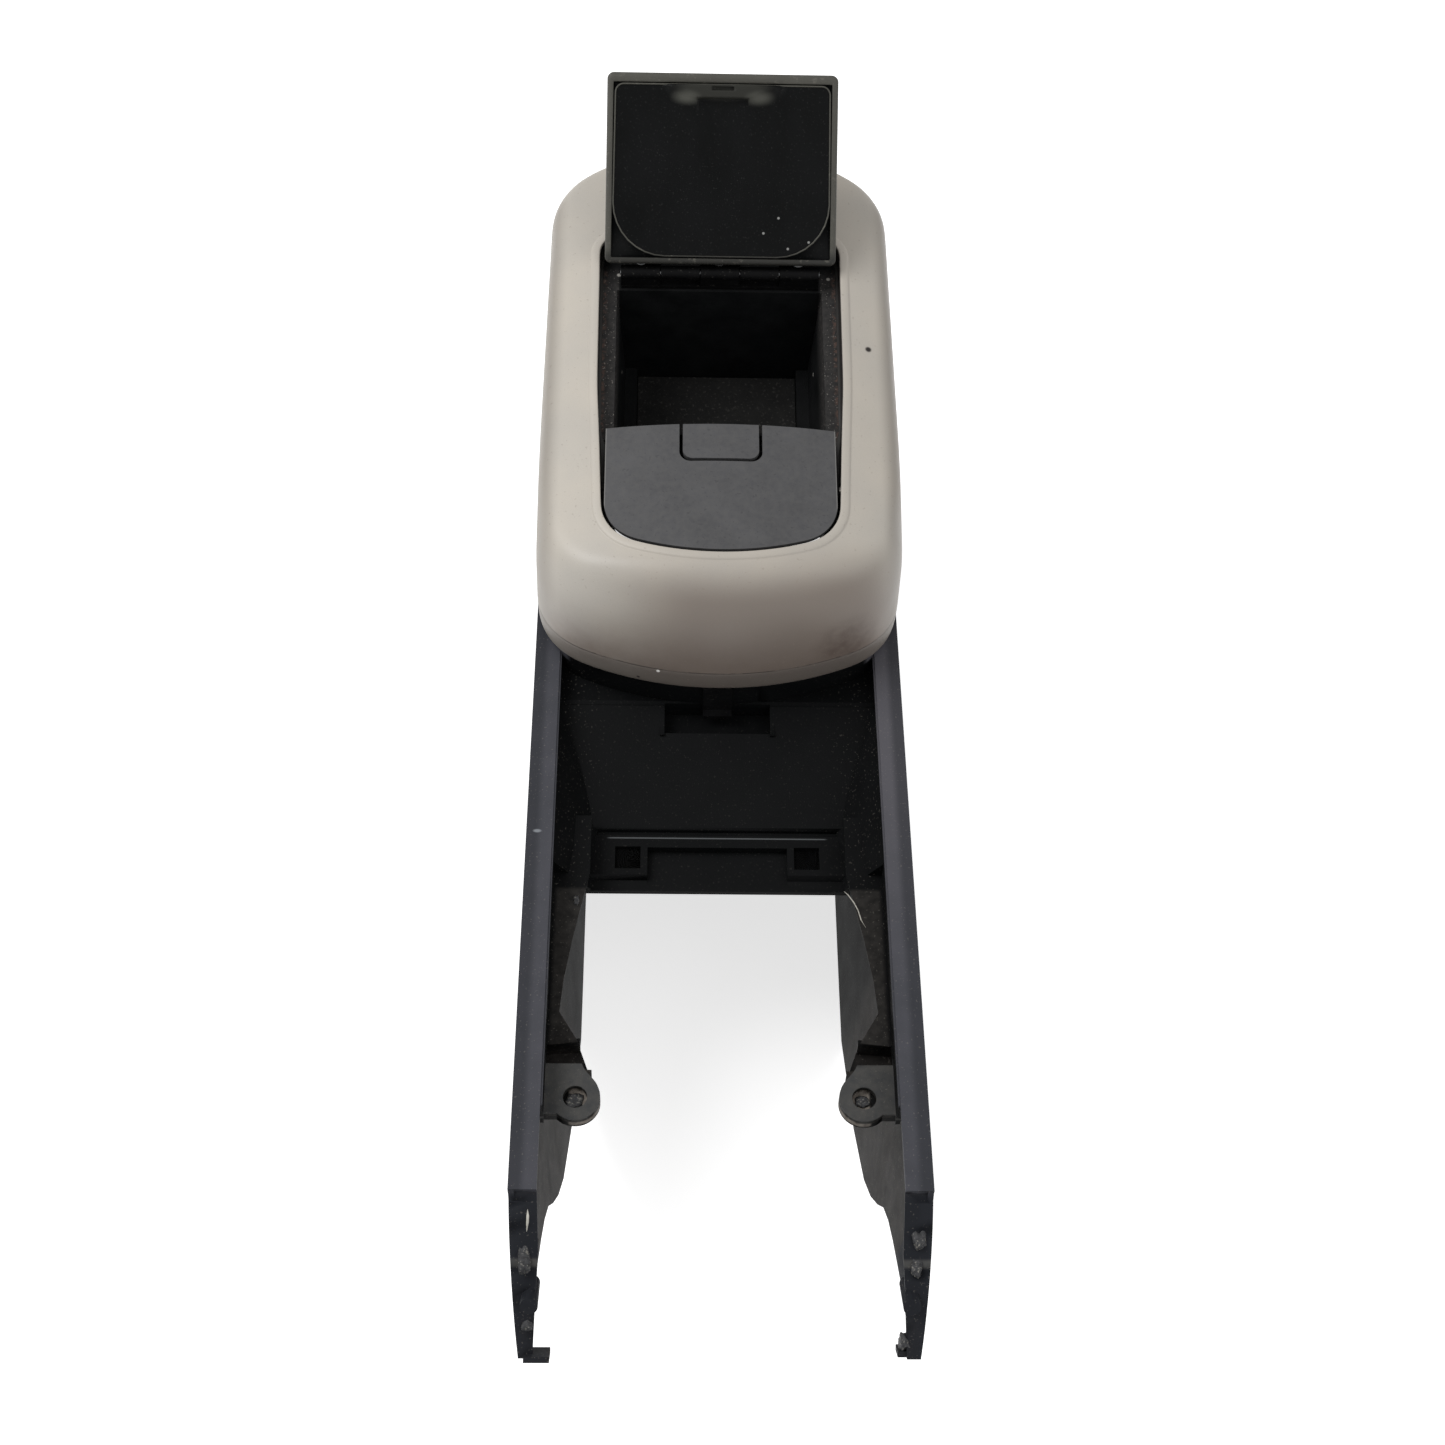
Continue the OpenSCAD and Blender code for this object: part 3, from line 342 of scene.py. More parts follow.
def smooth_black_abs():
    """Smooth black ABS of the lid's inner panel, hazed and with a few dust specks, with painted highlights on the latch
    boss and its flanks.
    """
    mat, tree = material("smooth_black_abs")
    spot, x, y, z = place(tree)
    haze = grain(tree, stretched(tree, spot, (1, 0.5, 0.5)), 26, 4)
    colour = blend(tree, haze, linear("#050606"), linear("#0a0b0c"))
    dust = fade(tree, grain(tree, spot, 1.0, 1), 0.97, 1.0)
    colour = blend(tree, both(tree, dust, 0.05), colour, linear("#8c8c8a"))
    for across, down in ((34.5, 83), (25.6, 92), (53, 97), (40.5, 101)):
        centre = lid_at(across, LID_FRONT + down, -LID_T) / MM
        colour = blend(tree, near(tree, spot, tuple(centre), 0.7, 1.1), colour, linear("#8f8f8d"))
    # Painted highlight: the latch boss paler where it faces the light; the flanks' lit marks are painted highlights too
    middle = lid_at(0, LID_FRONT + 9, -LID_T - BOSS_H) / MM
    boss = near(tree, stretched(tree, spot, (0.28, 1, 1)), (middle.x * 0.28, middle.y, middle.z), 5.5, 9.5)
    colour = blend(tree, both(tree, boss, 0.85), colour, linear("#33332f"))
    for side in (-1, 1):
        wing = lid_at(side * 22, LID_FRONT + 14, -LID_T - 2.4) / MM
        lit = near(tree, stretched(tree, spot, (0.5, 1, 1)), (wing.x * 0.5, wing.y, wing.z), 0.5, 6.0)
        colour = blend(tree, both(tree, lit, 0.6), colour, linear("#6c6c65"))
    coat_of(tree, colour, scaled(tree, haze, 0.4, 0.56), [(grain(tree, spot, 1.1, 2), 0.012)], 0.12)
    return mat


def bin_polypropylene():
    """Black polypropylene of the storage bin: dusty side ledges, brownish lint along the rim, painted glints on the
    ledges and steps, dark inside.
    """
    mat, tree = material("dusty_black_polypropylene")
    spot, x, y, z = place(tree)
    u = width(tree, x)
    cloud = grain(tree, spot, 16, 4)
    colour = blend(tree, cloud, linear("#0b0c0d"), linear("#141516"))
    ledge = both(tree, fade(tree, u, 60.5, 62.2), fade(tree, y, 276, 266), fade(tree, z, 240, 250))
    dust = blend(tree, grain(tree, spot, 3.4, 6), linear("#282828"), linear("#3c3a39"))
    colour = blend(tree, ledge, colour, dust)
    rim = both(tree, ledge, fade(tree, u, 67.5, 70), fade(tree, grain(tree, spot, 2.6, 5), 0.35, 0.75))
    colour = blend(tree, both(tree, rim, 0.7), colour, linear("#5e4a42"))
    speck = both(tree, ledge, fade(tree, grain(tree, spot, 1.2, 1), 0.93, 1.0), 0.6)
    colour = blend(tree, speck, colour, linear("#8f8a84"))
    # Painted glints: bright spots at the rear ends of the side ledges and low on the side walls near the rear corners
    for glint_at in ((-61.5, 268, 288.5), (66.7, 267, 288.8), (-59.6, 236.2, 237.3), (59.6, 236.2, 237.3)):
        colour = blend(tree, near(tree, spot, glint_at, 0.8, 1.6), colour, linear("#b5b2ac"))
    floor_dust = both(tree, fade(tree, z, 205, 190), fade(tree, grain(tree, spot, 4, 5), 0.4, 0.9))
    colour = blend(tree, both(tree, floor_dust, 0.4), colour, linear("#2c2b2a"))
    coat_of(tree, colour, scaled(tree, cloud, 0.55, 0.72), [(grain(tree, spot, 0.9, 3), 0.04)], 0.15)
    return mat


def mat_rubber():
    """Thin black rubber mat on the bin's floor with lint."""
    mat, tree = material("black_rubber")
    spot, x, y, z = place(tree)
    lint = fade(tree, grain(tree, spot, 1.8, 4), 0.7, 0.95)
    colour = blend(tree, grain(tree, spot, 12, 4), linear("#151515"), linear("#1e1e1d"))
    colour = blend(tree, both(tree, lint, 0.3), colour, linear("#5a5855"))
    coat_of(tree, colour, scaled(tree, lint, 0.7, 0.85), [(grain(tree, spot, 0.6, 2), 0.05)], 0.2)
    return mat


def plated_steel():
    """Zinc-plated steel of the screws, the pin and the springs."""
    mat, tree = material("zinc_plated_steel")
    spot, x, y, z = place(tree)
    streak = grain(tree, stretched(tree, spot, (1, 1, 0.15)), 0.6, 3)
    colour = blend(tree, grain(tree, spot, 3, 3), linear("#8d8f92"), linear("#a9aaab"))
    colour = blend(tree, both(tree, fade(tree, streak, 0.6, 1.0), 0.3), colour, linear("#6a655c"))
    coat_of(tree, colour, scaled(tree, streak, 0.3, 0.45), [(streak, 0.01)], 0.5, 1.0)
    return mat


def pale_acetal():
    """Off-white acetal of the latch bolt and of the broken light bits on the arms."""
    mat, tree = material("off_white_acetal")
    spot, x, y, z = place(tree)
    cloud = grain(tree, spot, 4, 5)
    colour = blend(tree, cloud, linear("#a39f97"), linear("#c3c0b6"))
    colour = blend(tree, both(tree, fade(tree, grain(tree, spot, 1.4, 4), 0.6, 0.9), 0.5), colour, linear("#6f6a61"))
    coat_of(tree, colour, scaled(tree, cloud, 0.4, 0.6), [(grain(tree, spot, 0.8, 4), 0.08)], 0.4)
    return mat


def torn_polypropylene():
    """Broken and rubbed black polypropylene: greyer where the skin is torn, with pale stress marks."""
    mat, tree = material("torn_black_polypropylene")
    spot, x, y, z = place(tree)
    cloud = grain(tree, spot, 2.6, 5)
    colour = blend(tree, cloud, linear("#222325"), linear("#48484a"))
    colour = blend(tree, both(tree, fade(tree, grain(tree, spot, 1.2, 4), 0.62, 0.95), 0.7), colour, linear("#8d8a82"))
    coat_of(tree, colour, scaled(tree, cloud, 0.4, 0.65), [(grain(tree, spot, 0.7, 4), 0.12)], 0.25)
    return mat


def black_abs():
    """Black ABS of the hidden frames, the latch housing and the hinge."""
    mat, tree = material("black_abs")
    spot, x, y, z = place(tree)
    cloud = grain(tree, spot, 10, 4)
    colour = blend(tree, cloud, linear("#050506"), linear("#0b0b0c"))
    colour = blend(tree, both(tree, fade(tree, grain(tree, spot, 1.6, 3), 0.85, 0.97), 0.3), colour, linear("#55534f"))
    coat_of(tree, colour, scaled(tree, cloud, 0.5, 0.65), [(grain(tree, spot, 0.8, 2), 0.03)], 0.12)
    return mat


# Outlines, in mm, as in the solids

def arc(cx, cy, r, a0, a1, n):
    return [(cx + r * math.cos(math.radians(a0 + (a1 - a0) * i / n)),
             cy + r * math.sin(math.radians(a0 + (a1 - a0) * i / n))) for i in range(n + 1)]


def plan_half(s, n=24):
    """Right half of the surround's plan in the drawing's frame, drawn in by s."""
    cx = BEZEL_W / 2 - CORNER_R
    fc = BEZEL_Y + FRONT_R
    cy = fc - math.sqrt((FRONT_R - CORNER_R) ** 2 - cx ** 2)
    fa = -math.degrees(math.atan2(fc - cy, cx))
    bc, bx, br = BEZEL_Y + BEZEL_L - FRONT_R, BEZEL_BACK_W / 2 - BACK_R, FRONT_R - BACK_R
    by = bc + math.sqrt(br * br - bx * bx)
    ba = math.degrees(math.atan2(by - bc, bx))
    return (arc(0, fc, FRONT_R - s, -90, fa, n) + arc(cx, cy, CORNER_R - s, fa, 0, n)[1:]
            + [(BEZEL_W / 2 - s, BEZEL_Y + 130)] + arc(bx, by, BACK_R - s, 0, ba, n) + arc(0, bc, FRONT_R - s, ba, 90, n)[1:])


def mouth_half(s, n=24):
    """Right half of the opening's plan in the sloping frame, drawn in by s."""
    cx = OPEN_FRONT_W / 2 - 30
    cy = 136 - math.sqrt(110 ** 2 - cx ** 2)
    fa = -math.degrees(math.atan2(136 - cy, cx))
    return (arc(0, 136, 140 - s, -90, fa, n) + arc(cx, cy, 30 - s, fa, 0, n)[1:]
            + [(OPEN_FRONT_W / 2 + 1.8 - s, 76), (OPEN_W / 2 - 0.5 - s, 118)]
            + arc(OPEN_W / 2 - 12, OPEN_L - 16, 12 - s, 0, 90, n // 2) + [(0, OPEN_L - 4 - s)])


def crown_at(x, raised=0.0):
    """Height of the crowned top over the sloping frame's floor."""
    return CROWN - CROWN_R + math.sqrt((CROWN_R + raised) ** 2 - x * x)


def cast(outline, origin, direction):
    """Where a ray from inside an outline leaves it."""
    ox, oy = origin
    dx, dy = direction
    best = None
    for (ax, ay), (bx, by) in zip(outline, outline[1:]):
        ex, ey = bx - ax, by - ay
        det = ex * dy - ey * dx
        if abs(det) < 1e-12:
            continue
        t = (ex * (ay - oy) - ey * (ax - ox)) / det
        u = (dx * (ay - oy) - dy * (ax - ox)) / det
        if t > 0 and -1e-6 <= u <= 1 + 1e-6 and (best is None or t < best):
            best = t
    return (ox + dx * best, oy + dy * best)


def rays(n_front, n_side, n_back, y_front, y_back):
    """Origins and directions from a middle line, right half, front to back."""
    out = [((0, y_front), (math.sin(a), -math.cos(a))) for a in (math.pi / 2 * i / n_front for i in range(n_front))]
    out += [((0, y_front + (y_back - y_front) * i / n_side), (1, 0)) for i in range(n_side)]
    out += [((0, y_back), (math.cos(a), math.sin(a))) for a in (math.pi / 2 * i / n_back for i in range(n_back + 1))]
    return out


def around(half):
    """Mirrors a list of right-half points into a closed ring."""
    return half + [Vector((-p.x, p.y, p.z)) for p in reversed(half[1:-1])]


# Mesh tools

def grow(bm, edges, verts, ring):
    """Extrudes a row of edges and moves the new row onto the given points."""
    made = bmesh.ops.extrude_edge_only(bm, edges=edges)["geom"]
    fresh = {v for v in made if isinstance(v, bmesh.types.BMVert)}
    row = []
    for vert, point in zip(verts, ring):
        other = next(e.other_vert(vert) for e in vert.link_edges if e.other_vert(vert) in fresh)
        other.co = point
        row.append(other)
    row_edges = [e for e in made if isinstance(e, bmesh.types.BMEdge) and e.verts[0] in fresh and e.verts[1] in fresh]
    return row_edges, row


def loft(rings, closed=True, caps=(False, False)):
    """A skin through rings of points, grown one row of edges at a time."""
    bm = bmesh.new()
    first = [bm.verts.new(p) for p in rings[0]]
    pairs = list(zip(first, first[1:] + first[:1])) if closed else list(zip(first, first[1:]))
    edges = [bm.edges.new(pair) for pair in pairs]
    verts = first
    if caps[0]:
        bm.faces.new(first)
    for ring in rings[1:]:
        edges, verts = grow(bm, edges, verts, ring)
    if caps[1]:
        bm.faces.new(verts)
    bmesh.ops.recalc_face_normals(bm, faces=bm.faces)
    return bm


def piece(name, bm, mat, body, replaced=(), smooth=True, turn=False):
    """Makes a finished object of a bmesh, riding on a body."""
    if turn:
        bmesh.ops.reverse_faces(bm, faces=bm.faces)
    mesh = bpy.data.meshes.new(name)
    bm.to_mesh(mesh)
    bm.free()
    for face in mesh.polygons:
        face.use_smooth = smooth
    mesh.materials.append(mat)
    obj = bpy.data.objects.new(name, mesh)
    bpy.context.scene.collection.objects.link(obj)
    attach(obj, body)
    if replaced:
        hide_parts(*replaced)
    return obj


def wall(obj, thickness, offset=-1.0):
    mod = obj.modifiers.new("wall", "SOLIDIFY")
    mod.thickness, mod.offset, mod.use_even_offset = thickness * MM, offset, True


def rounded(obj, levels=1):
    mod = obj.modifiers.new("round", "SUBSURF")
    mod.levels = mod.render_levels = levels


def softened(obj, width, segments=2, angle=30):
    mod = obj.modifiers.new("edges", "BEVEL")
    mod.width, mod.segments, mod.limit_method, mod.angle_limit = width * MM, segments, "ANGLE", math.radians(angle)
    even = obj.modifiers.new("shading", "WEIGHTED_NORMAL")
    even.keep_sharp = True


def from_solid(name, node, mat, body, width=0.5, segments=2, angle=30):
    """A copy of a CAD node with merged faces and rounded edges, which stands for it."""
    bm = bmesh.new()
    bm.from_mesh(nodes[node].data)
    bmesh.ops.remove_doubles(bm, verts=bm.verts, dist=0.00002)
    bmesh.ops.dissolve_limit(bm, angle_limit=math.radians(1.5), verts=bm.verts, edges=bm.edges)
    obj = piece(name, bm, mat, body, (node,), smooth=True)
    softened(obj, width, segments, angle)
    return obj


# Surround

def build_surround(mat):
    outer, mouth, foot = plan_half(0), mouth_half(0), mouth_half(-RING_W)
    y0, y1 = 418.0, 560.0
    tan_s, cos_s = math.tan(SLOPE), math.cos(SLOPE)

    def top_z(x, y):
        """Height of the crowned top over a place in plan."""
        return OPEN_Z + (y - OPEN_Y) * tan_s + (CROWN - x * x / (2 * CROWN_R)) / cos_s

    rows = []
    for origin, way in rays(30, 12, 26, y0, y1):
        s_origin = (0.0, (origin[1] - OPEN_Y) / cos_s - 1.0)
        ox, oy = cast(outer, origin, way)
        mx, my = cast(mouth, s_origin, way)
        fx, fy = cast(foot, s_origin, way)
        nx, ny = fx - mx, fy - my
        reach = math.hypot(nx, ny)
        nx, ny = nx / reach, ny / reach
        row = []

        def sloped(x, y, z):
            return slope_at(x, y, z)
        # Throat, from below, and the raised ring with rounded edges
        shelf = 6.0 * min(max((90.0 - my) / 14.0, 0.0), 1.0)
        for inward, depth in ((shelf, -11.9), (shelf * 0.5, -12.0), (0.0, -12.0), (0.0, -6.0), (0.0, -2.0)):
            row.append(sloped(mx - nx * inward, my - ny * inward, depth))
        for out, up in ((0.0, RING_H - 0.9), (0.25, RING_H - 0.25), (0.9, RING_H), (reach * 0.5, RING_H + 0.15),
                        (reach - 1.1, RING_H - 0.05), (reach - 0.5, RING_H * 0.6), (reach - 0.15, 0.12), (reach + 0.25, -0.12),
                        (reach + 0.9, 0.0)):
            x, y = mx + nx * out, my + ny * out
            row.append(sloped(x, y, crown_at(x) + up))
        # Skin: the crowned top, a rounded shoulder and a wall down to the lip
        start = row[-1] / MM
        sx, sy = start.x, start.y + MID_Y
        bx, by, bz = ox, oy, LOWER_Z + LIP_H
        front = max(0.0, -way[1]) ** 1.5 if origin[1] == y0 else 0.0
        back = max(0.0, way[1]) ** 1.5
        side = 1 - front - back
        span = math.hypot(sx - bx, sy - by)
        tx, ty = (sx - bx) / span, (sy - by) / span
        turn = min(27.0 * front + 11.0 * side + 15.0 * back, span - 1.0)
        reach_in = turn * (1 - (0.5 * front + 0.68 * side + 0.7 * back))
        edge = top_z(bx, by)
        drop = (edge - bz) * front + 16.0 * side + 19.0 * back
        tuck, lean = 0.8 * (1 - front), 0.8 + 1.2 * front
        inner = (bx + tx * turn, by + ty * turn)
        for t in (0.35, 0.7):
            x, y = sx + (inner[0] - sx) * t, sy + (inner[1] - sy) * t
            row.append(body_at(x, y, top_z(x, y)))
        p0 = Vector((*inner, top_z(*inner)))
        p1 = Vector((bx + tx * reach_in, by + ty * reach_in, 0))
        p1.z = top_z(p1.x, p1.y) - 0.3
        p2 = Vector((bx + tx * lean, by + ty * lean, edge - 23.0 * front - 4.0 * side - 5.0 * back))
        p3 = Vector((bx + tx * tuck, by + ty * tuck, edge - drop))
        for t in (0.0, 0.1, 0.2, 0.3, 0.4, 0.5, 0.6, 0.7, 0.8, 0.9, 1.0):
            u = 1 - t
            p = p0 * u ** 3 + p1 * 3 * u * u * t + p2 * 3 * u * t * t + p3 * t ** 3
            row.append(body_at(p.x, p.y, p.z))
        for t in (0.3, 0.65, 0.96, 1.0):
            row.append(body_at(bx + tx * tuck * (1 - t), by + ty * tuck * (1 - t), p3.z + (bz - p3.z) * t - 0.02 * t))
        # Lip: a narrow groove and a band that turns in towards its lower edge
        for inward, z in ((0.35, LIP_H - 0.45), (0.35, LIP_H - 0.9), (0.0, LIP_H - 1.4), (0.1, LIP_H * 0.5), (0.5, 1.2),
                          (0.9, 0.35), (1.7, 0.0), (2.6, 0.0)):
            row.append(body_at(bx + tx * inward, by + ty * inward, LOWER_Z + z))
        rows.append(row)
    rings = [around([row[i] for row in rows]) for i in range(len(rows[0]))]
    bm = loft(rings)
    obj = piece("surround", bm, mat, "console", ("bezel",))
    wall(obj, 2.4)
    rounded(obj)
    return obj


base_mat = base_polypropylene()
paint_mat = silver_beige_paint()
panel_mat = grey_abs()
liner_mat = smooth_black_abs()
shell_mat = olive_abs()
bin_mat = bin_polypropylene()
black_mat = black_abs()
steel_mat = plated_steel()
pale_mat = pale_acetal()
torn_mat = torn_polypropylene()

for name in nodes:
    dress(name, black_mat)
dress("base_body", base_mat)
dress("storage_bin", bin_mat)
dress("bin_mat", mat_rubber())
dress("latch_bolt", pale_mat)
for name in ("front_panel", "latch_button"):
    dress(name, panel_mat)
dress("lid_shell", shell_mat)
dress("lid_panel", liner_mat)
for name in nodes:
    if name.endswith("screws") or name in ("hinge_pin", "button_springs"):
        dress(name, steel_mat)
build_surround(paint_mat)

# Lid

def lid_half(s, front_r=4.0, back_r=4.0, more=0.0, n=8):
    """Right half of the lid's plan, drawn in by s and by more again at its free end."""
    fw, bw = LID_FRONT_W / 2 - s, LID_BACK_W / 2 - s
    y0, y1 = LID_FRONT + s + more, LID_BACK - s
    fr, br = max(front_r - s, 0.8), max(back_r - s, 0.8)
    line = [(x if x < 35 else 34 + (x - 34) * (fw - fr - 34) / 26, y0) for x in FREE_END]
    sides = [(fw - fr + fr + (bw - fw) * t, y0 + fr + (y1 - br - y0 - fr) * t) for t in (0.12, 0.25, 0.4, 0.55, 0.7, 0.85)]
    return line + arc(fw - fr, y0 + fr, fr, -90, 0, n) + sides + arc(bw - br, y1 - br, br, 0, 90, n) + [
        (bw * 0.5 * (1 - br / bw), y1), (0, y1)]


FREE_END = (0, 2, 4, 6.2, 6.6, 8, 10, 12, 14, 14.8, 15.5, 16.3, 17.5, 19, 20.5, 22, 23.5, 25, 26.5, 28, 29.5, 31, 32.5, 34, 36, 39, 44, 50, 57)


def lid_ring(points, height):
    return around([lid_at(x, y, height(x, y)) for x, y in points])


def build_lid_shell(mat):
    """Crowned shell with a rounded outer edge and a thin open rim."""
    mid = (LID_FRONT + LID_BACK) / 2
    base = lid_half(0)
    rings = []
    for f in (0.03, 0.35, 0.62, 0.82):
        rings.append(lid_ring([(x * f, mid + (y - mid) * f) for x, y in base], lambda x, y: crown_at(x)))
    for s, drop in ((5.0, 0.0), (3.2, 0.03), (2.0, 0.3), (1.1, 0.9), (0.45, 1.8), (0.08, 3.0)):
        rings.append(lid_ring(lid_half(s), lambda x, y, d=drop: crown_at(x) - d))
    for s, z, more in ((0.0, -4.5, 0), (0.0, -7.5, 0), (0.1, -LID_T + 1.9, 0), (0.5, -LID_T + 0.8, 0.2), (1.2, -LID_T + 0.2, 0.4),
                       (2.1, -LID_T, 0.8), (3.0, -LID_T, 1.4), (3.5, -LID_T + 0.15, 1.6), (3.75, -LID_T + 0.5, 1.7),
                       (3.75, -LID_T + 1.4, 1.7), (2.6, -LID_T + 1.5, 0), (2.6, -LID_T + 5.0, 0), (2.6, 0.0, 0)):
        rings.append(lid_ring(lid_half(s, more=more), lambda x, y, z=z: z))
    obj = piece("lid_cover", loft(rings, caps=(True, True)), mat, "lid", ("lid_shell",))
    strike_recess(obj)
    return obj


def strike_recess(obj):
    """Cuts the shallow recess in the free end's wall where the latch bolt's nose catches."""
    bm = bmesh.new()
    bmesh.ops.create_cube(bm, size=1.0)
    for v in bm.verts:
        v.co = lid_at(v.co.x * 13.0, LID_FRONT + v.co.y * 4.2, -5.6 + v.co.z * 5.8)
    bmesh.ops.recalc_face_normals(bm, faces=bm.faces)
    mesh = bpy.data.meshes.new("recess")
    bm.to_mesh(mesh)
    bm.free()
    cutter = bpy.data.objects.new("recess", mesh)
    bpy.context.scene.collection.objects.link(cutter)
    mod = obj.modifiers.new("recess", "BOOLEAN")
    mod.operation, mod.solver, mod.object = "DIFFERENCE", "EXACT", cutter
    bpy.context.view_layer.update()
    cut = bpy.data.meshes.new_from_object(obj.evaluated_get(bpy.context.evaluated_depsgraph_get()))
    obj.modifiers.clear()
    obj.data = cut
    bpy.data.objects.remove(cutter)


def boss_height(x, y):
    """Rise of the latch boss over the inner panel, with its scooped flanks and its narrow slot."""
    u, v = abs(x), y - LID_FRONT
    level = 1.0 - min(max((v - 13.6) / 1.0, 0.0), 1.0)
    out = ((u - 31.5) * 7 + (v - 6.6) * 16.5) / math.hypot(7, 16.5)
    flank = 1.0 if out <= 0 else max(0.0, 1 - out / 9.5) ** 2
    side = min(max((u - 14.8) / 0.7, 0.0), 1.0)
    flank *= min(max((36.0 - u) / 4.0, 0.0), 1.0)
    rise = level * (1 - side) + flank * side
    slot = 2.4 if u < 6.4 and 7.4 < v < 9.6 else 0.0
    return BOSS_H * rise - slot


def build_lid_panel(mat):
    """Inner panel: a flat flange, a fine bead and a shallow dish with the latch boss."""
    mid = (LID_FRONT + LID_BACK) / 2
    z0 = -LID_T
    rings = []
    for s, z in ((2.9, z0 + 6.0), (2.9, z0 + 2.2), (3.1, z0 + 2.0), (3.9, z0 + 2.0)):
        rings.append(lid_ring(lid_half(s, 4.5, 4.5, 0.2), lambda x, y, z=z: z))
    rings.append(lid_ring(lid_half(4.2, 10, 36, 1.6), lambda x, y: z0 + 1.9))
    rings.append(lid_ring(lid_half(4.25, 10, 36, 1.6), lambda x, y: z0 + 0.7))
    rings.append(lid_ring(lid_half(4.5, 10, 36, 1.6), lambda x, y: z0 + 0.55))
    for s in (5.7, 5.9, 6.4, 7.2, 7.9, 8.1, 9.0, 10.0, 11.0, 12.0, 12.5, 13.1, 13.8, 14.8, 16, 17.4, 19, 21, 23):
        rings.append(lid_ring(lid_half(s, 10, 36, 1.6), lambda x, y: z0 + 0.55 - boss_height(x, y)))
    last = lid_half(23, 10, 36, 1.6)
    for f in (0.8, 0.5, 0.2, 0.03):
        rings.append(lid_ring([(x * f, mid + (y - mid) * f) for x, y in last], lambda x, y: z0 + 0.55))
    bm = loft(rings, caps=(True, True))
    return piece("lid_liner", bm, mat, "lid", ("lid_panel",))


def build_liner_bead(mat):
    """Fine raised bead along the edge of the inner panel."""
    rings = []
    z0 = -LID_T
    for s, z in ((4.45, z0 + 0.8), (4.5, z0 + 0.0), (4.75, z0 - 0.25), (5.1, z0 - 0.25), (5.35, z0 + 0.0), (5.4, z0 + 0.8),
                 (4.45, z0 + 0.8)):
        rings.append(lid_ring(lid_half(s, 10, 36, 1.6), lambda x, y, z=z: z))
    bm = loft(rings)
    bmesh.ops.remove_doubles(bm, verts=bm.verts, dist=0.000005)
    bmesh.ops.recalc_face_normals(bm, faces=bm.faces)
    return piece("liner_bead", bm, mat, "lid")


def build_bit(name, mat, centre, half, body="console", seed=1.0):
    """A small torn or broken bit: a squashed ball with an uneven surface, sunk into what carries it."""
    bm = bmesh.new()
    bmesh.ops.create_icosphere(bm, subdivisions=3, radius=1.0)
    for v in bm.verts:
        p = v.co
        bump = 1 + 0.16 * math.sin(5.1 * p.x + seed) * math.sin(4.3 * p.y + 2 * seed) + 0.1 * math.sin(9 * p.z + 7 * p.x + seed)
        square = (abs(p.x) ** 4 + abs(p.y) ** 4 + abs(p.z) ** 4) ** -0.25
        p *= bump * square
        v.co = Vector((centre[0] + p.x * half[0], centre[1] + p.y * half[1], centre[2] + p.z * half[2])) * MM
    return piece(name, bm, mat, body)


def build_strand(name, mat, points, thick):
    """A thin curled sliver swept along a row of points, pointed at both ends."""
    rings = []
    for i, point in enumerate(points):
        a, b = points[max(i - 1, 0)], points[min(i + 1, len(points) - 1)]
        along = (Vector(b) - Vector(a)).normalized()
        across = along.cross(Vector((0, 0, 1))).normalized()
        up = across.cross(along)
        size = thick * (0.25 if i in (0, len(points) - 1) else 1.0)
        rings.append([(Vector(point) + across * size * math.cos(t) + up * size * 0.5 * math.sin(t)) * MM
                      for t in (math.pi * k / 4 for k in range(8))])
    return piece(name, loft(rings, caps=(True, True)), mat, "console")


def build_top_panel(mat):
    """Front panel: an even sheet under the crowned top with a notch for the button."""
    gap, notch, rad = PANEL_GAP, BUTTON_W / 2 + 2.0, 7.0
    front = [p for p in mouth_half(gap, 30) if p[1] < 70]

    def front_y(x):
        for (ax, ay), (bx, by) in zip(front, front[1:]):
            if x <= bx:
                return ay + (by - ay) * (x - ax) / max(bx - ax, 1e-6)
        return front[-1][1]

    def notch_y(x):
        y0 = PANEL_BACK - BUTTON_L - 2.0
        return y0 if x < notch - rad else y0 + rad - math.sqrt(max(rad * rad - (x - notch + rad) ** 2, 0.0))
    xs = [notch * i / 8 for i in range(7)] + [notch - rad + rad * math.sin(math.radians(a)) for a in range(0, 91, 9)]
    xs = sorted({round(x, 4) for x in xs if x <= notch})
    edge = front[-1][0]
    corner = edge - 27.0
    xs += [notch + (corner - notch) * i / 12 for i in range(1, 12)]
    xs += [corner + 27.0 * math.sin(math.radians(a)) for a in range(0, 90, 5)] + [edge - 0.02]
    bm = bmesh.new()

    def spot(x, y):
        return slope_at(x, y, crown_at(x))
    split = PANEL_BACK - BUTTON_L - 2.0 + rad
    columns = []
    for x in [-x for x in reversed(xs) if x > 0] + xs:
        u = abs(x)
        top = notch_y(u) if u < notch else split
        low = front_y(u)
        lower = [bm.verts.new(spot(x, low + (top - low) * t / 16)) for t in range(17)]
        upper = [bm.verts.new(spot(x, top + (PANEL_BACK - top) * t / 5)) for t in range(1, 6)] if u >= notch - 1e-6 else []
        columns.append((lower, upper, u))
    for (a, ua, xa), (b, ub, xb) in zip(columns, columns[1:]):
        if ua and ub:
            a, b = a + ua, b + ub
        for i in range(min(len(a), len(b)) - 1):
            bm.faces.new((a[i], b[i], b[i + 1], a[i + 1]))
    bmesh.ops.remove_doubles(bm, verts=bm.verts, dist=0.00001)
    bmesh.ops.recalc_face_normals(bm, faces=bm.faces)
    obj = piece("top_panel", bm, mat, "console", ("front_panel",))
    wall(obj, 3.0)
    softened(obj, 0.7, 3, 50)
    return obj


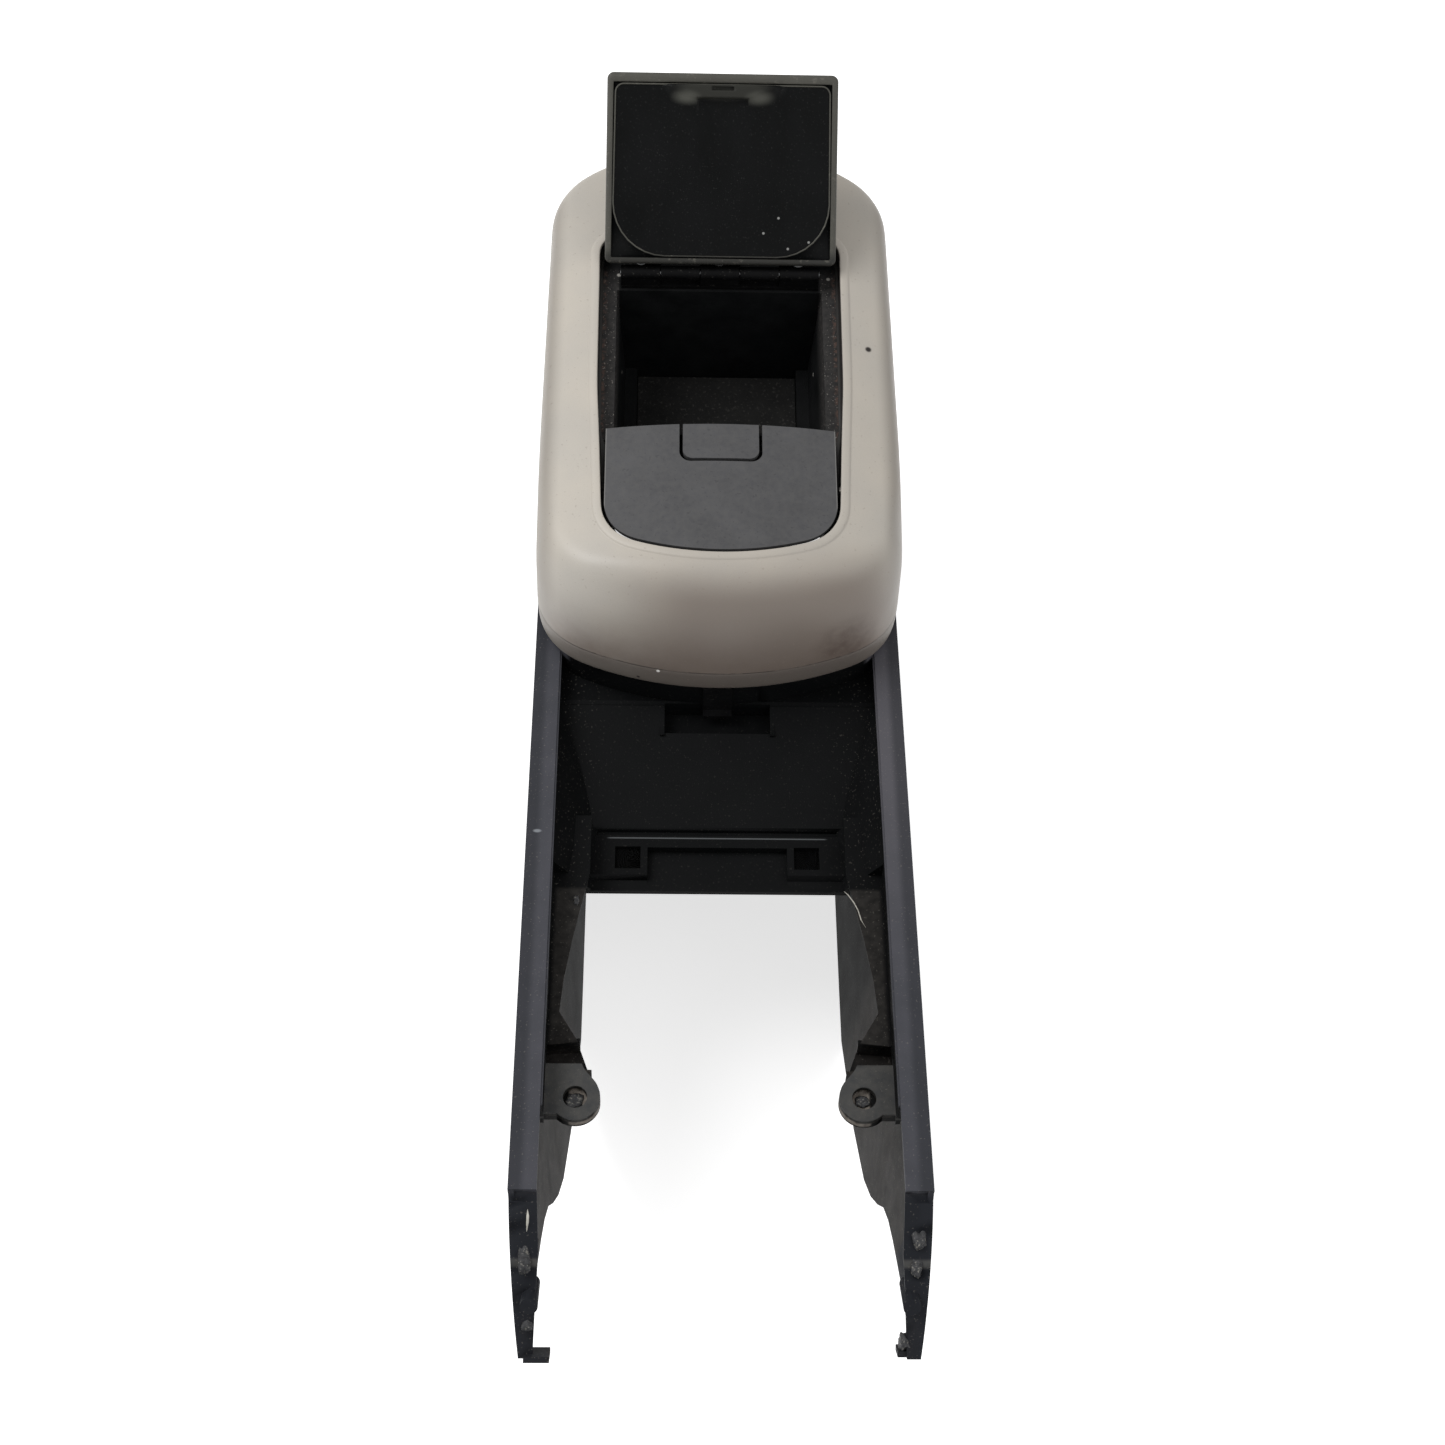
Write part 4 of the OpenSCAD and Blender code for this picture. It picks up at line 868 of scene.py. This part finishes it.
build_top_panel(panel_mat)
build_lid_shell(shell_mat)
build_lid_panel(liner_mat)
build_liner_bead(shell_mat)
build_bit("left_arm_boss", torn_mat, (-98.4, -317, 174.4), (3.0, 10, 2.6), seed=0.4)
build_strand("left_arm_sliver", pale_mat, [(-97.2, -298, 184.4), (-97.0, -301, 183.5), (-97.1, -304, 182.3),
             (-97.4, -308, 180.3)], 0.7)
build_bit("right_arm_bit", torn_mat, (99.6, -309, 178.4), (3.4, 6.5, 2.2), seed=2.2)
build_bit("right_arm_bit_front", torn_mat, (98.0, -322, 171.9), (2.6, 5.5, 2.2), seed=3.7)
build_bit("left_arm_tear", torn_mat, (-96.6, -345.5, 154.0), (2.6, 3.4, 1.6), seed=5.0)
build_bit("right_arm_stub", torn_mat, (93.6, -350.5, 140.0), (3.0, 4.0, 9.0), seed=1.3)
build_bit("left_ear_grit", torn_mat, (-76.2, -229.6, 168.0), (4.4, 4.0, 0.7), seed=2.9)
build_bit("right_ear_grit", torn_mat, (75.2, -229.4, 168.2), (3.6, 3.2, 1.0), seed=4.4)
build_bit("left_shelf_tear", torn_mat, (-79.0, -107.6, 170.2), (1.5, 2.8, 0.7), seed=6.1)
build_strand("right_shelf_curl", pale_mat, [(70.4, -100.5, 170.4), (72.6, -103, 170.8), (75.6, -108, 170.9),
             (77.8, -113, 170.8), (79.2, -119, 170.6), (81.6, -124, 170.3)], 0.35)
build_bit("surround_nib", paint_mat, (70.0, 103.5, 277.6), (2.0, 1.5, 1.2), seed=0.9)
springs = from_solid("return_springs", "button_springs", steel_mat, "console")
springs.modifiers.clear()
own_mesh(springs)
from_solid("floor_body", "base_body", base_mat, "console", 0.6)
from_solid("bin_liner", "storage_bin", bin_mat, "console", 0.5)
from_solid("release_button", "latch_button", panel_mat, "button", 0.6, 3)


# Floor, light and camera

def floor_material():
    mat, tree = material("studio_floor")
    path = add(tree, "ShaderNodeLightPath")
    seen = add(tree, "ShaderNodeMath", {0: path.outputs["Is Camera Ray"], 1: path.outputs["Is Glossy Ray"]}, operation="MAXIMUM")
    seen = add(tree, "ShaderNodeMath", {0: seen.outputs[0], 1: path.outputs["Is Transmission Ray"]}, operation="MAXIMUM")
    plain = add(tree, "ShaderNodeBsdfDiffuse", {"Color": linear("#e6e6e6")})
    glow = add(tree, "ShaderNodeEmission", {"Color": (1, 1, 1, 1), "Strength": 0.7})
    both = add(tree, "ShaderNodeAddShader", {0: plain.outputs[0], 1: glow.outputs[0]})
    mix = add(tree, "ShaderNodeMixShader", {"Fac": seen.outputs[0], 1: plain.outputs[0], 2: both.outputs[0]})
    add(tree, "ShaderNodeOutputMaterial", {"Surface": mix.outputs[0]})
    return mat


def floor():
    bm = bmesh.new()
    bmesh.ops.create_circle(bm, cap_ends=True, radius=12.0, segments=64)
    mesh = bpy.data.meshes.new("studio_floor")
    bm.to_mesh(mesh)
    bm.free()
    obj = bpy.data.objects.new("studio_floor", mesh)
    obj.location.z = -0.0005
    bpy.context.scene.collection.objects.link(obj)
    mesh.materials.append(floor_material())


def lamp(name, place, aim, size, power):
    data = bpy.data.lights.new(name, "AREA")
    data.shape = "DISK"
    data.size = size
    data.energy = power
    obj = bpy.data.objects.new(name, data)
    obj.location = place
    obj.rotation_euler = (Vector(aim) - Vector(place)).to_track_quat("-Z", "Y").to_euler()
    bpy.context.scene.collection.objects.link(obj)


def world():
    scene = bpy.context.scene
    scene.world = bpy.data.worlds.new("studio")
    scene.world.use_nodes = True
    tree = scene.world.node_tree
    tree.nodes.clear()
    path = add(tree, "ShaderNodeLightPath")
    dim = add(tree, "ShaderNodeBackground", {"Color": (1, 1, 1, 1), "Strength": 0.55})
    white = add(tree, "ShaderNodeBackground", {"Color": (1, 1, 1, 1), "Strength": 1.0})
    mix = add(tree, "ShaderNodeMixShader", {"Fac": path.outputs["Is Camera Ray"], 1: dim.outputs[0], 2: white.outputs[0]})
    add(tree, "ShaderNodeOutputWorld", {"Surface": mix.outputs[0]})
    scene.view_settings.view_transform = "Standard"


def camera():
    data = bpy.data.cameras.new("camera")
    data.sensor_width = 36.0
    data.lens = 2260.34 / 1445 * 36
    data.clip_start, data.clip_end = 0.05, 50.0
    obj = bpy.data.objects.new("camera", data)
    turn = Matrix.Rotation(math.radians(-2.479), 4, "Z") @ Matrix.Rotation(math.radians(36.159), 4, "X")
    obj.matrix_world = Matrix.Translation(body_at(-30.8, -480.0, 1246.2)) @ turn @ Matrix.Rotation(math.radians(2.564), 4, "Z")
    bpy.context.scene.collection.objects.link(obj)
    bpy.context.scene.camera = obj


floor()
world()
lamp("key", (-1.3, 0.2, 1.9), (0, 0, 0.2), 1.4, 26)
lamp("fill", (1.4, -0.9, 1.5), (0, 0, 0.2), 1.6, 9)
camera()
